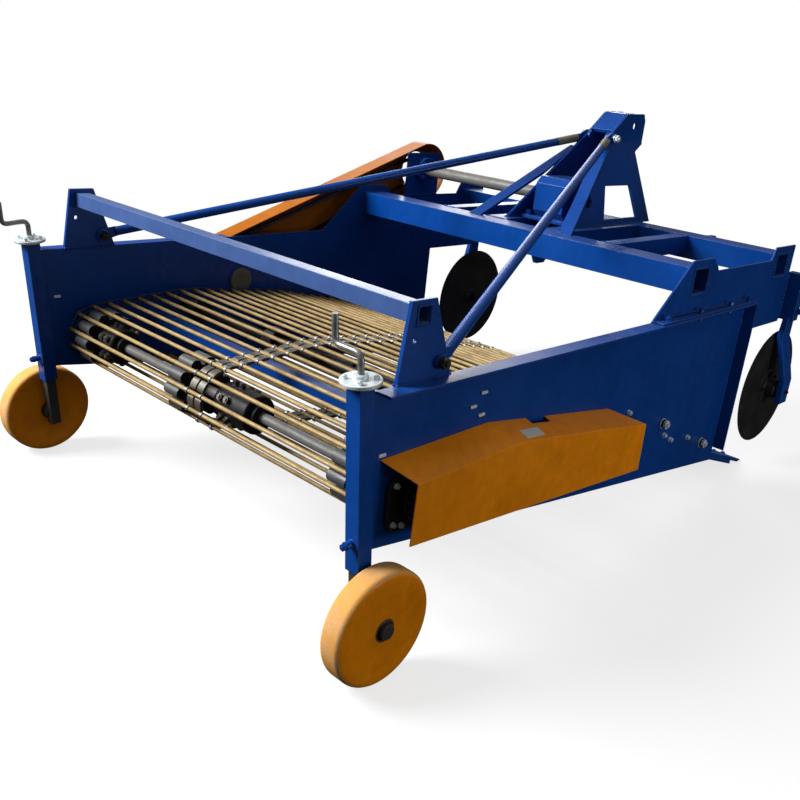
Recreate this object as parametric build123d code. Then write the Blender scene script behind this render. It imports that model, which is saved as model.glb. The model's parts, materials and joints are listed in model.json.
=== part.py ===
from build123d import *
import math
import os

# Mounted potato digger. Sizes are in millimetres, X to the machine's right, Z up from the ground.
# Stations (Y) count forward from the rear posts' tops; save() then puts the origin in the
# middle of the footprint. Right-hand pieces are modelled and the left ones are mirrored.

# Box frame
HALF_WIDTH = 700.0            # centre line to a side plate's outer face
SHEET = 6.0                   # side plates and head plates
FLANGE = 40.0                 # outward flanges bent on the side plates
PLATE_TOP = 650.0
PLATE_FRONT = 1745.0          # station of the side plates' front edge
PLATE_REAR_BOTTOM = 288.0
PLATE_FRONT_BOTTOM = 78.0
FLANGE_SET = 22.0             # top flange starts this far from the plate's rear edge
FRONT_FLANGE_RISE = 50.0      # front flange starts this far above the plate's lower corner
FIT = 0.25                    # clearance round pieces that pass through a hole

# Head plates and the two beams that they carry
HEAD_LAP = 620.0              # head plate behind the side plate's front edge
HEAD_REACH = 311.0            # head plate ahead of it
HEAD_DROP = 110.0             # below the side plate's top, ahead of it
FOOT = 34.0                   # outward foot that is bolted to the side plate's flange
REAR_BEAM_SET = 250.0         # from the head plate's rear corner to the rear beam
FRONT_BEAM_SET = 91.0         # from the head plate's front edge to the front beam
BEAM_LIFT = 98.0              # beams above the side plates' top
BEAM_DEPTH = 100.0
BEAM_HEIGHT = 80.0
BEAM_WALL = 6.0
LUG_RIM = 24.0                # metal above a beam
LUG_SIDE = 15.0               # metal behind and ahead of a beam
LUG_SLOPE = 45.0              # run of a lug's slanted side
VALLEY_DROP = 42.0            # upper edge between the lugs, below their tops
TIE_X = 345.0
TIE_WIDTH = 50.0
TIE_HEIGHT = 60.0
TIE_WALL = 5.0
RAIL_WIDTH = 80.0             # ties under the mast plates

# Mast for the top link, with its gearbox
MAST_FOOT_X = 125.0           # centre line to a mast plate's outer face at its foot
MAST_RISE = 287.0             # beams' top to the bend below the ears
EAR_GAP = 82.0                # between the two top-link ears
EAR_SHEET = 10.0
WINDOW_SILL = 20.0            # window above the beams
WINDOW_HEIGHT = 114.0
CAP_SHEET = 12.0
TOP_LINK_SET = 2.0            # pin hole ahead of the front beam's middle
TOP_LINK_RISE = 56.0          # pin hole above the bend
TOP_LINK_R = 12.9
BRACE_FOOT_X = 193.0
BRACE_FOOT_SET = 25.0         # ahead of the rear beam's middle
BRACE_HEAD_DROP = 40.0        # below the bend
BRACE_HEAD_SET = 213.0        # behind the front beam's middle
BRACE_WIDTH = 46.0
BRACE_SHEET = 10.0
SHAFT_SET = 275.0             # gearbox and cross shaft ahead of the rear beam
SHAFT_RISE = 82.0             # and above the beams
GEARBOX_HALF = 62.0
GEARBOX_LENGTH = 190.0
GEARBOX_HEIGHT = 140.0
GEARBOX_CAP_R = 40.0
GEARBOX_CAP = 8.0
SEAT_HALF = 105.0
SEAT_MARGIN = 12.0
CROSS_TUBE_R = 22.0
CROSS_SHAFT_R = 17.5
PTO_R = 17.4625
PTO_LENGTH = 120.0
BEARING_R = 48.0
BEARING_LENGTH = 24.0
BEARING_POST_LENGTH = 190.0
BEARING_POST_RISE = 66.0      # bearing plate above the cross shaft

# Lower links
LINK_SHOULDER = 412.5         # centre line to the pins' shoulders
LINK_SHEET = 20.0
LINK_PIN_R = 14.25
LINK_PIN_LENGTH = 80.0
LINK_REACH = 131.0            # pins ahead of the front beam
LINK_DROP = 585.0             # pins below the top-link hole
LINK_EYE = 36.0               # metal round a pin

# Rear posts, jacks and wheels
POST_W = 40.0
POST_RISE = 26.0              # posts above the side plates
POST_LENGTH = 430.0
POST_LEAN = 5.5               # degrees, tops to the rear
POST_LUG = 18.0               # set-screw lug behind a post
POST_LUG_DROP = 356.0
LEG_W = 30.0
LEG_TOP = 150.0               # below the post's top, measured along the post
LEG_FOOT = 36.0               # below the axle
WHEEL_R = 136.0
WHEEL_W = 60.0
WHEEL_ROUND = 13.0
WHEEL_GAP = 5.0
AXLE_R = 14.0
AXLE_COLLAR_R = 22.0
AXLE_NUT_R = 18.0
AXLE_NUT = 10.0
JACK_R = 43.0
JACK_SHEET = 8.0
JACK_BOSS_R = 15.0
JACK_BOSS = 10.0
CRANK_R = 7.0
CRANK_SIDES = 8
CRANK_RISE = 42.0
CRANK_ARM = 74.0
CRANK_GRIP = 62.0
CRANK_BEND = 18.0

# Rear brackets, cross tube and stays
BRACKET_SHEET = 10.0
BRACKET_REAR = 100.0
BRACKET_LENGTH = 165.0
BRACKET_HEIGHT = 174.0
BRACKET_TOP_SET = 22.0
BRACKET_TOP_LENGTH = 75.0
BRACKET_HOLE_R = 6.0
CROSS_SET = 60.0              # cross tube ahead of the bracket's rear corner
CROSS_RISE = 142.0            # cross tube above the side plates
CROSS_W = 40.0
CROSS_WALL = 4.0
STAY_R = 14.0
STAY_TAB = 8.0
STAY_EYE_R = 20.0
STAY_EYE_LENGTH = 44.0
STAY_BOLT_R = 10.0
STAY_HEAD_R = 16.0
STAY_HEAD = 9.0
STAY_FOOT_SET = 122.0         # foot bolt ahead of the bracket's rear corner
STAY_FOOT_RISE = 34.0         # foot bolt above the side plates
STAY_TOP_SET = 150.0          # top bolt behind the front beam's middle
STAY_TOP_RISE = 11.0          # top bolt above the bend

# Rod web, the wheels inside it and their shafts
ROD_R = 5.5
ROD_SIDES = 6
ROD_PITCH = 52.0
ROD_GAP = 16.0                # rod ends to a side plate
BAND_T = 12.0                 # rows of link hooks
BAND_W = 18.0
STAR_TEETH = 10
STAR_Y = 187.0
STAR_Z = 384.0
STAR_SEAT = 0.5               # under a rod in its tooth gap
STAR_TIP = 5.0                # tooth tip outside the rods' centre line
STAR_SHAFT_R = 20.0
SLEEVE_R = 66.0
ROLLER_R = 40.0
ROLLER_W = 44.0
ROLLER_INSET = 94.0           # outer rollers from a side plate
ROLLER_MID = 200.0            # inner rollers from the centre line
ROLLER_SHAFT_R = 15.0
IDLER_SET = 118.0             # idlers behind the side plates' front edge
IDLER_Z = 172.0
IDLER_R = 45.0
SHAKER_Y = 860.0
SHAKER_Z = 305.0
SHAKER_R = 26.0
SHAFT_END = 12.0              # roller shafts outside the side plates
MEMBER_Y = 395.0              # square tube across the box inside the web
MEMBER_Z = 408.0
MEMBER_W = 40.0
MEMBER_WALL = 4.0
GUIDE_Y = 749.0               # discs that keep the rods off the side plates
GUIDE_Z = 495.0
GUIDE_R = 43.0
GUIDE_T = 12.0

# Chain drives and their covers
CHAIN_T = 11.0
CHAIN_W = 10.0
CHAIN_OUT = 38.0              # chains stand out from the side plates
SPROCKET_STAR = 52.0
SPROCKET_SHAKER = 40.0
SPROCKET_CROSS = 46.0
COVER_SHEET = 3.0
COVER_OUT = 75.0              # covers stand out from the side plates
COVER_FRONT_SET = 30.0        # left cover's front end ahead of the cross shaft
COVER_FRONT_DROP = 10.0       # and below it
COVER_FRONT_R = 112.0
COVER_REAR_R = 85.0
COVER_HOLE_R = 72.0
COVER_GAP = 3.0

# Digging share and coulters
SHARE_LAP = 40.0              # share behind the side plates' front edge
SHARE_LENGTH = 335.0
SHARE_RISE = 40.0             # share's rear edge above the side plates' lower corner
SHARE_T = 14.0
SHARE_EDGE = 4.0
SHARE_REST = 26.0             # level strip under the cutting edge
ARM_W = 50.0
ARM_T = 14.0
ARM_SET = 90.0                # arms end behind the cutting edge
DISC_R = 210.0
DISC_T = 6.0
DISC_OUT = 8.0                # disc outside a side plate
DISC_SET = 19.0               # disc's axle ahead of the head plate
DISC_Z = 294.0
DISC_HUB_R = 36.0
DISC_HUB_IN = 9.0
DISC_HUB_OUT = 40.0
DISC_AXLE_R = 12.0
DISC_NUT = 5.0
CLAMP_OUT = 50.0              # coulter clamp outside the side plate
CLAMP_DEPTH = 44.0
CLAMP_RISE = 10.0             # clamp above the head plate's lower edge
CLAMP_HEIGHT = 166.0
SHANK_T = 20.0
SHANK_GAP = 7.0               # shank to the disc's face
SHANK_W = 52.0
COULTER_W = 84.0              # arm at its bend
COULTER_FOOT_W = 60.0
COULTER_FOOT = 44.0           # arm below the disc's axle
COULTER_KNEE = 46.0           # straight foot above the disc's axle
COULTER_BEND = 196.0          # bend above the disc's axle

# Mast plate outline: corner, station ahead of the front beam's middle, height above the bend
MAST_EARS = (
    ("bend", -190, 0),
    ("cap foot", -137, 37),
    ("cap crest", -60, 97),
    ("nose top", 57, 101),
    ("nose front", 71, 75),
    ("nose foot", 71, -7),
    ("throat", 20, -35),
)
MAST_FEET = (-485, 105)       # rear and front foot, ahead of the front beam's middle
WINDOW_FOOT = (-218, 8)       # window's lower corners, ahead of the front beam's middle
WINDOW_TOP = (-198, -30)      # and its upper ones

# Toothed wheels and plain sleeves on the web's drive shaft near a side plate:
# side, distance from that plate, length, toothed
END_WHEELS = (
    (-1, 67, 47, False),
    (-1, 134, 240, True),
    (1, 54, 65, True),
    (1, 134, 50, False),
)
# and near the middle: start, length, toothed
MID_WHEELS = (
    (-150, 60, False),
    (-88, 38, True),
    (-50, 120, False),
    (72, 171, True),
)

# Rollers under the upper run: station, height
ROLLERS = (
    (520.0, 439.0),
    (900.0, 397.0),
    (1316.0, 308.0),
)

# Right cover, from the drive shaft: corner, station and height on the side plate, then on the outer face
RIGHT_COVER = (
    ("rear top", -113, 111, -72, 74),
    ("crest", 235, 120, 275, 85),
    ("bend", 371, 101, 428, 67),
    ("front top", 779, 44, 876, 2),
    ("front bottom", 798, -138, 881, -140),
    ("rear bottom", -103, -78, -77, -70),
)

# Worked-out places
INNER = HALF_WIDTH - SHEET
HEAD_REAR = PLATE_FRONT - HEAD_LAP
HEAD_FRONT = PLATE_FRONT + HEAD_REACH
HEAD_BOTTOM = PLATE_TOP - HEAD_DROP
REAR_BEAM_Y = HEAD_REAR + REAR_BEAM_SET
FRONT_BEAM_Y = HEAD_FRONT - FRONT_BEAM_SET
BEAM_FRONT = FRONT_BEAM_Y + BEAM_DEPTH / 2
BEAM_Z = PLATE_TOP + BEAM_LIFT
BEAM_TOP = BEAM_Z + BEAM_HEIGHT / 2
LUG_TOP = BEAM_TOP + LUG_RIM
VALLEY = LUG_TOP - VALLEY_DROP
EAR_IN = EAR_GAP / 2
EAR_OUT = EAR_IN + EAR_SHEET
BEND_Z = BEAM_TOP + MAST_RISE
EAR_TOP = BEND_Z + max(height for _, _, height in MAST_EARS)
TOP_LINK_Y = FRONT_BEAM_Y + TOP_LINK_SET
TOP_LINK_Z = BEND_Z + TOP_LINK_RISE
SHAFT_Y = REAR_BEAM_Y + SHAFT_SET
SHAFT_Z = BEAM_TOP + SHAFT_RISE
LINK_Y = BEAM_FRONT + LINK_REACH
LINK_Z = TOP_LINK_Z - LINK_DROP
POST_TOP = PLATE_TOP + POST_RISE
POST_X = HALF_WIDTH - SHEET / 2
LEAN = math.radians(POST_LEAN)
WHEEL_DROP = (POST_TOP - WHEEL_R) / math.cos(LEAN)
WHEEL_Y = (POST_TOP - WHEEL_R) * math.tan(LEAN)
WHEEL_IN = POST_X + POST_W / 2 + WHEEL_GAP
WHEEL_OUT = WHEEL_IN + WHEEL_W
CROSS_Y = BRACKET_REAR + CROSS_SET
CROSS_Z = PLATE_TOP + CROSS_RISE
STAY_FOOT_Y = BRACKET_REAR + STAY_FOOT_SET
STAY_FOOT_Z = PLATE_TOP + STAY_FOOT_RISE
STAY_TOP_Y = FRONT_BEAM_Y - STAY_TOP_SET
STAY_TOP_Z = BEND_Z + STAY_TOP_RISE
ROD_HALF = INNER - ROD_GAP
STAR_R = STAR_TEETH * ROD_PITCH / (2 * math.pi)
IDLER_Y = PLATE_FRONT - IDLER_SET
CHAIN_X = HALF_WIDTH + CHAIN_OUT
COVER_X = HALF_WIDTH + COVER_OUT
SHARE_REAR = PLATE_FRONT - SHARE_LAP
SHARE_TIP = SHARE_REAR + SHARE_LENGTH
SHARE_REAR_Z = PLATE_FRONT_BOTTOM + SHARE_RISE
ARM_FRONT = SHARE_TIP - ARM_SET
DISC_X = HALF_WIDTH + DISC_OUT
DISC_Y = HEAD_FRONT + DISC_SET
CRANK_TOP = JACK_SHEET + JACK_BOSS + CRANK_RISE + CRANK_GRIP
CRANK_REAR = -(CRANK_ARM + CRANK_R) * math.cos(LEAN) - CRANK_TOP * math.sin(LEAN)
MID_Y = (DISC_Y + DISC_R + min(WHEEL_Y - WHEEL_R, CRANK_REAR)) / 2


def block(x, y, z):
    """Box between the two ends given for each axis."""
    sizes = [abs(b - a) for a, b in (x, y, z)]
    middle = [(a + b) / 2 for a, b in (x, y, z)]
    return Pos(*middle) * Box(*sizes)


def sheet(points, x0, x1):
    """Flat sheet with an outline of (Y, Z) points, from X = x0 to X = x1."""
    return Pos(x0, 0, 0) * extrude(Plane.YZ * Polygon(*points, align=None), x1 - x0, dir=(1, 0, 0))


def ribbon(points, y0, y1):
    """Section of (X, Z) points drawn along Y from y0 to y1."""
    return Pos(0, y0, 0) * extrude(Plane.XZ * Polygon(*points, align=None), y1 - y0, dir=(0, 1, 0))


def shaft(radius, x0, x1, y, z):
    """Round bar along X."""
    return Pos((x0 + x1) / 2, y, z) * Rot(0, 90, 0) * Cylinder(radius, abs(x1 - x0))


def bar(section, start, end, across):
    """Bar of a section from start to end, with the section's x along the direction across."""
    run = Vector(*end) - Vector(*start)
    side = Vector(*across)
    side = side - run.normalized() * side.dot(run.normalized())
    plane = Plane(origin=start, x_dir=side, z_dir=run)
    return extrude(plane * section, run.length)


def box_tube(half_length, y, z, depth, height, wall):
    """Rectangular tube along X, open at both ends."""
    outer = block((-half_length, half_length), (y - depth / 2, y + depth / 2), (z - height / 2, z + height / 2))
    bore_y = (y - depth / 2 + wall, y + depth / 2 - wall)
    bore_z = (z - height / 2 + wall, z + height / 2 - wall)
    return outer - block((-half_length, half_length), bore_y, bore_z)


def belt(circles):
    """Belt round circles (Y, Z, radius): for each, the arc on it and the run to the next one."""
    following = circles[1:] + circles[:1]
    normals = []
    for (y0, z0, r0), (y1, z1, r1) in zip(circles, following):
        reach = math.hypot(y1 - y0, z1 - z0)
        normals.append(math.atan2(z1 - z0, y1 - y0) - math.acos((r0 - r1) / reach))
    pieces = []
    for i, (y, z, r) in enumerate(circles):
        turn = (normals[i] - normals[i - 1]) % (2 * math.pi)
        y1, z1, r1 = following[i]
        c, s = math.cos(normals[i]), math.sin(normals[i])
        start = (y + r * c, z + r * s)
        end = (y1 + r1 * c, z1 + r1 * s)
        pieces.append({"centre": (y, z), "radius": r, "from": normals[i - 1], "turn": turn,
                       "start": start, "end": end, "normal": normals[i], "run": math.dist(start, end)})
    return pieces


def belt_stations(circles, pitch):
    """Points (Y, Z, outward angle) spaced along a belt by the nearest whole count to a pitch."""
    pieces = belt(circles)
    length = sum(p["radius"] * p["turn"] + p["run"] for p in pieces)
    count = round(length / pitch)
    stations = []
    for k in range(count):
        s = k * length / count
        for p in pieces:
            arc = p["radius"] * p["turn"]
            if s < arc:
                angle = p["from"] + s / p["radius"]
                y = p["centre"][0] + p["radius"] * math.cos(angle)
                z = p["centre"][1] + p["radius"] * math.sin(angle)
                stations.append((y, z, angle))
                break
            s -= arc
            if s < p["run"]:
                share = s / p["run"]
                y = p["start"][0] + share * (p["end"][0] - p["start"][0])
                z = p["start"][1] + share * (p["end"][1] - p["start"][1])
                stations.append((y, z, p["normal"]))
                break
            s -= p["run"]
    return stations


def belt_face(circles):
    """Face inside a belt round circles."""
    edges = []
    for p in belt(circles):
        (y, z), r = p["centre"], p["radius"]
        on = [(y + r * math.cos(a), z + r * math.sin(a))
              for a in (p["from"], p["from"] + p["turn"] / 2, p["from"] + p["turn"])]
        edges += [ThreePointArc(*on), Line(p["start"], p["end"])]
    return make_face(edges)


def belt_solid(circles, x0, x1):
    """Solid that fills a belt, from X = x0 to X = x1."""
    return Pos(x0, 0, 0) * extrude(Plane.YZ * belt_face(circles), x1 - x0, dir=(1, 0, 0))


def both_sides(right):
    """A right-hand piece and its mirror image, as two solids."""
    return Compound(children=[right, mirror(right, about=Plane.YZ)])


def on_post(piece):
    """Place a piece whose Z runs along the right post, with zero at the post's top."""
    return Pos(POST_X, 0, POST_TOP) * Rot(POST_LEAN, 0, 0) * piece


def post_front(z):
    """Station of the post's front face at a height."""
    return POST_W / 2 / math.cos(LEAN) + (POST_TOP - z) * math.tan(LEAN)


def shaft_holes():
    """Cutters for the shafts of the web in both side plates."""
    span = (-HALF_WIDTH - SHEET, HALF_WIDTH + SHEET)
    holes = [shaft(STAR_SHAFT_R + FIT, *span, STAR_Y, STAR_Z)]
    for y, z in ROLLERS + ((IDLER_Y, IDLER_Z), (SHAKER_Y, SHAKER_Z)):
        holes.append(shaft(ROLLER_SHAFT_R + FIT, *span, y, z))
    return holes


def left_cover_circles(extra):
    """Ends of the left chain cover, grown by extra."""
    return [(STAR_Y, STAR_Z, COVER_REAR_R + extra),
            (SHAFT_Y + COVER_FRONT_SET, SHAFT_Z - COVER_FRONT_DROP, COVER_FRONT_R + extra)]


def left_cover_room():
    """Cutter that frees the left chain cover from the outward flanges."""
    return belt_solid(left_cover_circles(COVER_GAP), -HALF_WIDTH - FLANGE - SHEET, -HALF_WIDTH)


def side_plate():
    rear_top = post_front(PLATE_TOP)
    outline = [(rear_top, PLATE_TOP), (post_front(PLATE_REAR_BOTTOM), PLATE_REAR_BOTTOM),
               (PLATE_FRONT, PLATE_FRONT_BOTTOM), (PLATE_FRONT, PLATE_TOP)]
    wall = sheet(outline, INNER, HALF_WIDTH)
    edge = (INNER, HALF_WIDTH + FLANGE)
    top = block(edge, (rear_top + FLANGE_SET, PLATE_FRONT), (PLATE_TOP - SHEET, PLATE_TOP))
    front = block(edge, (PLATE_FRONT - SHEET, PLATE_FRONT), (PLATE_FRONT_BOTTOM + FRONT_FLANGE_RISE, PLATE_TOP))
    return wall + top + front - shaft_holes()


def head_plate():
    reach = BEAM_DEPTH / 2 + LUG_SIDE
    outline = [(HEAD_REAR, PLATE_TOP), (REAR_BEAM_Y - reach, LUG_TOP), (REAR_BEAM_Y + reach, LUG_TOP),
               (REAR_BEAM_Y + reach + LUG_SLOPE, VALLEY), (FRONT_BEAM_Y - reach - LUG_SLOPE / 2, VALLEY),
               (FRONT_BEAM_Y - reach, LUG_TOP), (HEAD_FRONT, LUG_TOP), (HEAD_FRONT, HEAD_BOTTOM),
               (PLATE_FRONT, HEAD_BOTTOM), (PLATE_FRONT, PLATE_TOP)]
    plate = sheet(outline, INNER, HALF_WIDTH)
    foot = block((INNER, HALF_WIDTH + FOOT), (HEAD_REAR + SHEET, PLATE_FRONT), (PLATE_TOP, PLATE_TOP + SHEET))
    half_y, half_z = BEAM_DEPTH / 2 + FIT, BEAM_HEIGHT / 2 + FIT
    holes = [block((INNER, HALF_WIDTH), (y - half_y, y + half_y), (BEAM_Z - half_z, BEAM_Z + half_z))
             for y in (REAR_BEAM_Y, FRONT_BEAM_Y)]
    return plate + foot - holes


def beam(y):
    return box_tube(HALF_WIDTH, y, BEAM_Z, BEAM_DEPTH, BEAM_HEIGHT, BEAM_WALL)


def beam_ties():
    """Tubes between the beams: two outer ties and two rails under the mast plates."""
    between = (REAR_BEAM_Y + BEAM_DEPTH / 2, FRONT_BEAM_Y - BEAM_DEPTH / 2)
    solids = []
    for x, width in ((TIE_X, TIE_WIDTH), (MAST_FOOT_X, RAIL_WIDTH)):
        outer = block((x - width / 2, x + width / 2), between, (BEAM_TOP - TIE_HEIGHT, BEAM_TOP))
        bore = block((x - width / 2 + TIE_WALL, x + width / 2 - TIE_WALL), between,
                     (BEAM_TOP - TIE_HEIGHT + TIE_WALL, BEAM_TOP - TIE_WALL))
        right = outer - bore
        solids += [right, mirror(right, about=Plane.YZ)]
    return Compound(children=solids)


def mast_plate():
    """Plate that leans in from its foot and is bent upright into a top-link ear."""
    section = [(MAST_FOOT_X, BEAM_TOP), (EAR_OUT, BEND_Z), (EAR_OUT, EAR_TOP), (EAR_IN, EAR_TOP),
               (EAR_IN, BEND_Z), (MAST_FOOT_X - EAR_SHEET, BEAM_TOP)]
    rear, front = [FRONT_BEAM_Y + foot for foot in MAST_FEET]
    outline = [(rear, BEAM_TOP)] + [(FRONT_BEAM_Y + y, BEND_Z + z) for _, y, z in MAST_EARS] + [(front, BEAM_TOP)]
    sill = BEAM_TOP + WINDOW_SILL
    window = [(FRONT_BEAM_Y + WINDOW_FOOT[0], sill), (FRONT_BEAM_Y + WINDOW_TOP[0], sill + WINDOW_HEIGHT),
              (FRONT_BEAM_Y + WINDOW_TOP[1], sill + WINDOW_HEIGHT), (FRONT_BEAM_Y + WINDOW_FOOT[1], sill)]
    across = (0, MAST_FOOT_X)
    plate = ribbon(section, rear, front) & sheet(outline, *across)
    cuts = [sheet(window, *across), shaft(CROSS_TUBE_R + FIT, *across, SHAFT_Y, SHAFT_Z),
            shaft(TOP_LINK_R, *across, TOP_LINK_Y, TOP_LINK_Z),
            shaft(STAY_BOLT_R + FIT, *across, STAY_TOP_Y, STAY_TOP_Z)]
    return plate - cuts


def mast_head():
    """Sloping cap welded between the ears, turned level over the top-link pin."""
    at = {name: (FRONT_BEAM_Y + y, BEND_Z + z) for name, y, z in MAST_EARS}
    foot, crest, nose = at["cap foot"], at["cap crest"], at["nose top"]
    end = ((crest[0] + nose[0]) / 2, (crest[1] + nose[1]) / 2)
    outline = [foot, crest, end, (end[0], end[1] - CAP_SHEET), (crest[0] + CAP_SHEET / 2, crest[1] - CAP_SHEET),
               (foot[0] + CAP_SHEET / 2, foot[1] - CAP_SHEET)]
    return sheet(outline, -EAR_IN, EAR_IN)


def mast_braces():
    """Flat bars from the rear beam's top to the mast plates, cut to fit both."""
    foot = Vector(BRACE_FOOT_X, REAR_BEAM_Y + BRACE_FOOT_SET, BEAM_TOP)
    lean = (MAST_FOOT_X - EAR_OUT) / MAST_RISE
    head = Vector(EAR_OUT + lean * BRACE_HEAD_DROP, FRONT_BEAM_Y - BRACE_HEAD_SET, BEND_Z - BRACE_HEAD_DROP)
    past = (head - foot).normalized() * BRACE_WIDTH
    strip = bar(Rectangle(BRACE_WIDTH, BRACE_SHEET), tuple(foot - past), tuple(head + past * 2), (1, 0, 0))
    top = head.Z + BRACE_WIDTH / 4
    room = ribbon([(MAST_FOOT_X, BEAM_TOP), (EAR_OUT + lean * (BEND_Z - top), top), (HALF_WIDTH, top),
                   (HALF_WIDTH, BEAM_TOP)], 0, HEAD_FRONT)
    return both_sides(strip & room)


def gearbox_seat():
    half = GEARBOX_LENGTH / 2 + SEAT_MARGIN
    return block((-SEAT_HALF, SEAT_HALF), (SHAFT_Y - half, SHAFT_Y + half), (BEAM_TOP, SHAFT_Z - GEARBOX_HEIGHT / 2))


def gearbox():
    body = Pos(0, SHAFT_Y, SHAFT_Z) * Box(2 * GEARBOX_HALF, GEARBOX_LENGTH, GEARBOX_HEIGHT)
    body = chamfer(body.edges().filter_by(Axis.X), GEARBOX_HEIGHT / 6)
    return body + shaft(GEARBOX_CAP_R, -GEARBOX_HALF - GEARBOX_CAP, GEARBOX_HALF + GEARBOX_CAP, SHAFT_Y, SHAFT_Z)


def pto_shaft():
    start = SHAFT_Y + GEARBOX_LENGTH / 2
    return Pos(0, start + PTO_LENGTH / 2, SHAFT_Z) * Rot(90, 0, 0) * Cylinder(PTO_R, PTO_LENGTH)


def cross_shaft():
    start = -GEARBOX_HALF - GEARBOX_CAP
    tube = shaft(CROSS_TUBE_R, -INNER + BEARING_LENGTH, start, SHAFT_Y, SHAFT_Z)
    stub = shaft(CROSS_SHAFT_R, -CHAIN_X - CHAIN_W, start, SHAFT_Y, SHAFT_Z)
    return tube + stub + sprocket(SPROCKET_CROSS, -1, SHAFT_Y, SHAFT_Z)


def bearing_post():
    half = BEARING_POST_LENGTH / 2
    plate = block((-HALF_WIDTH, -INNER), (SHAFT_Y - half, SHAFT_Y + half), (VALLEY, SHAFT_Z + BEARING_POST_RISE))
    housing = shaft(BEARING_R, -INNER, -INNER + BEARING_LENGTH, SHAFT_Y, SHAFT_Z)
    return plate + housing - shaft(CROSS_SHAFT_R + FIT, -HALF_WIDTH, -INNER + BEARING_LENGTH, SHAFT_Y, SHAFT_Z)


def lower_link():
    outline = [(BEAM_FRONT, BEAM_TOP), (BEAM_FRONT + LINK_EYE, BEAM_TOP), (LINK_Y + LINK_EYE, LINK_Z + LINK_EYE),
               (LINK_Y + LINK_EYE, LINK_Z - LINK_EYE / 2), (LINK_Y + LINK_EYE / 2, LINK_Z - LINK_EYE),
               (LINK_Y - LINK_EYE, LINK_Z - LINK_EYE), (BEAM_FRONT, BEAM_Z - BEAM_HEIGHT)]
    plate = sheet(outline, LINK_SHOULDER - LINK_SHEET, LINK_SHOULDER)
    return plate + shaft(LINK_PIN_R, LINK_SHOULDER - LINK_SHEET, LINK_SHOULDER + LINK_PIN_LENGTH, LINK_Y, LINK_Z)


def post():
    bore = LEG_W + 2 * FIT
    tube = Pos(0, 0, -POST_LENGTH / 2) * (Box(POST_W, POST_W, POST_LENGTH) - Box(bore, bore, POST_LENGTH))
    lug = Pos(0, -POST_W / 2 - POST_LUG / 2, -POST_LUG_DROP) * Rot(90, 0, 0) * Cylinder(POST_LUG / 2, POST_LUG)
    return on_post(tube + lug)


def jack_flange():
    disc = Pos(0, 0, JACK_SHEET / 2) * Cylinder(JACK_R, JACK_SHEET)
    boss = Pos(0, 0, JACK_SHEET + JACK_BOSS / 2) * Cylinder(JACK_BOSS_R, JACK_BOSS)
    return on_post(disc + boss)


def crank(arm_x, arm_y):
    """Bent handle on a jack, its arm along the unit direction (arm_x, arm_y)."""
    base = JACK_SHEET + JACK_BOSS
    x, y = arm_x * CRANK_ARM, arm_y * CRANK_ARM
    corners = [(0, 0, base), (0, 0, base + CRANK_RISE), (x, y, base + CRANK_RISE),
               (x, y, base + CRANK_RISE + CRANK_GRIP)]
    path = FilletPolyline(*corners, radius=CRANK_BEND)
    return on_post(sweep(Pos(0, 0, base) * RegularPolygon(CRANK_R, CRANK_SIDES), path=path))


def leg():
    length = WHEEL_DROP + LEG_FOOT - LEG_TOP
    upright = Pos(0, 0, -LEG_TOP - length / 2) * Box(LEG_W, LEG_W, length)
    axle = shaft(AXLE_R, POST_X, WHEEL_OUT + AXLE_NUT, WHEEL_Y, WHEEL_R)
    collar = shaft(AXLE_COLLAR_R, POST_X, WHEEL_IN - FIT, WHEEL_Y, WHEEL_R)
    nut = shaft(AXLE_NUT_R, WHEEL_OUT + FIT, WHEEL_OUT + AXLE_NUT, WHEEL_Y, WHEEL_R)
    return on_post(upright) + axle + collar + nut


def wheel():
    step = WHEEL_ROUND / 3.4
    rim = [(0, WHEEL_R - WHEEL_ROUND), (step, WHEEL_R - step), (WHEEL_ROUND, WHEEL_R)]
    far = [(WHEEL_W - x, r) for x, r in reversed(rim)]
    bore = AXLE_R + FIT
    profile = Polygon((0, bore), *rim, *far, (WHEEL_W, bore), align=None)
    return Pos(WHEEL_IN, WHEEL_Y, WHEEL_R) * revolve(profile, Axis.X)


def rear_bracket():
    top_rear = BRACKET_REAR + BRACKET_TOP_SET
    top = PLATE_TOP + BRACKET_HEIGHT
    outline = [(BRACKET_REAR, PLATE_TOP), (top_rear, top), (top_rear + BRACKET_TOP_LENGTH, top),
               (BRACKET_REAR + BRACKET_LENGTH, PLATE_TOP)]
    across = (HALF_WIDTH - BRACKET_SHEET, HALF_WIDTH)
    half = CROSS_W / 2 + FIT
    square = block(across, (CROSS_Y - half, CROSS_Y + half), (CROSS_Z - half, CROSS_Z + half))
    bolt = shaft(STAY_BOLT_R + FIT, *across, STAY_FOOT_Y, STAY_FOOT_Z)
    small = shaft(BRACKET_HOLE_R, *across, CROSS_Y - CROSS_W / 2, CROSS_Z - CROSS_W - 2 * BRACKET_HOLE_R)
    return sheet(outline, *across) - [square, bolt, small]


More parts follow.
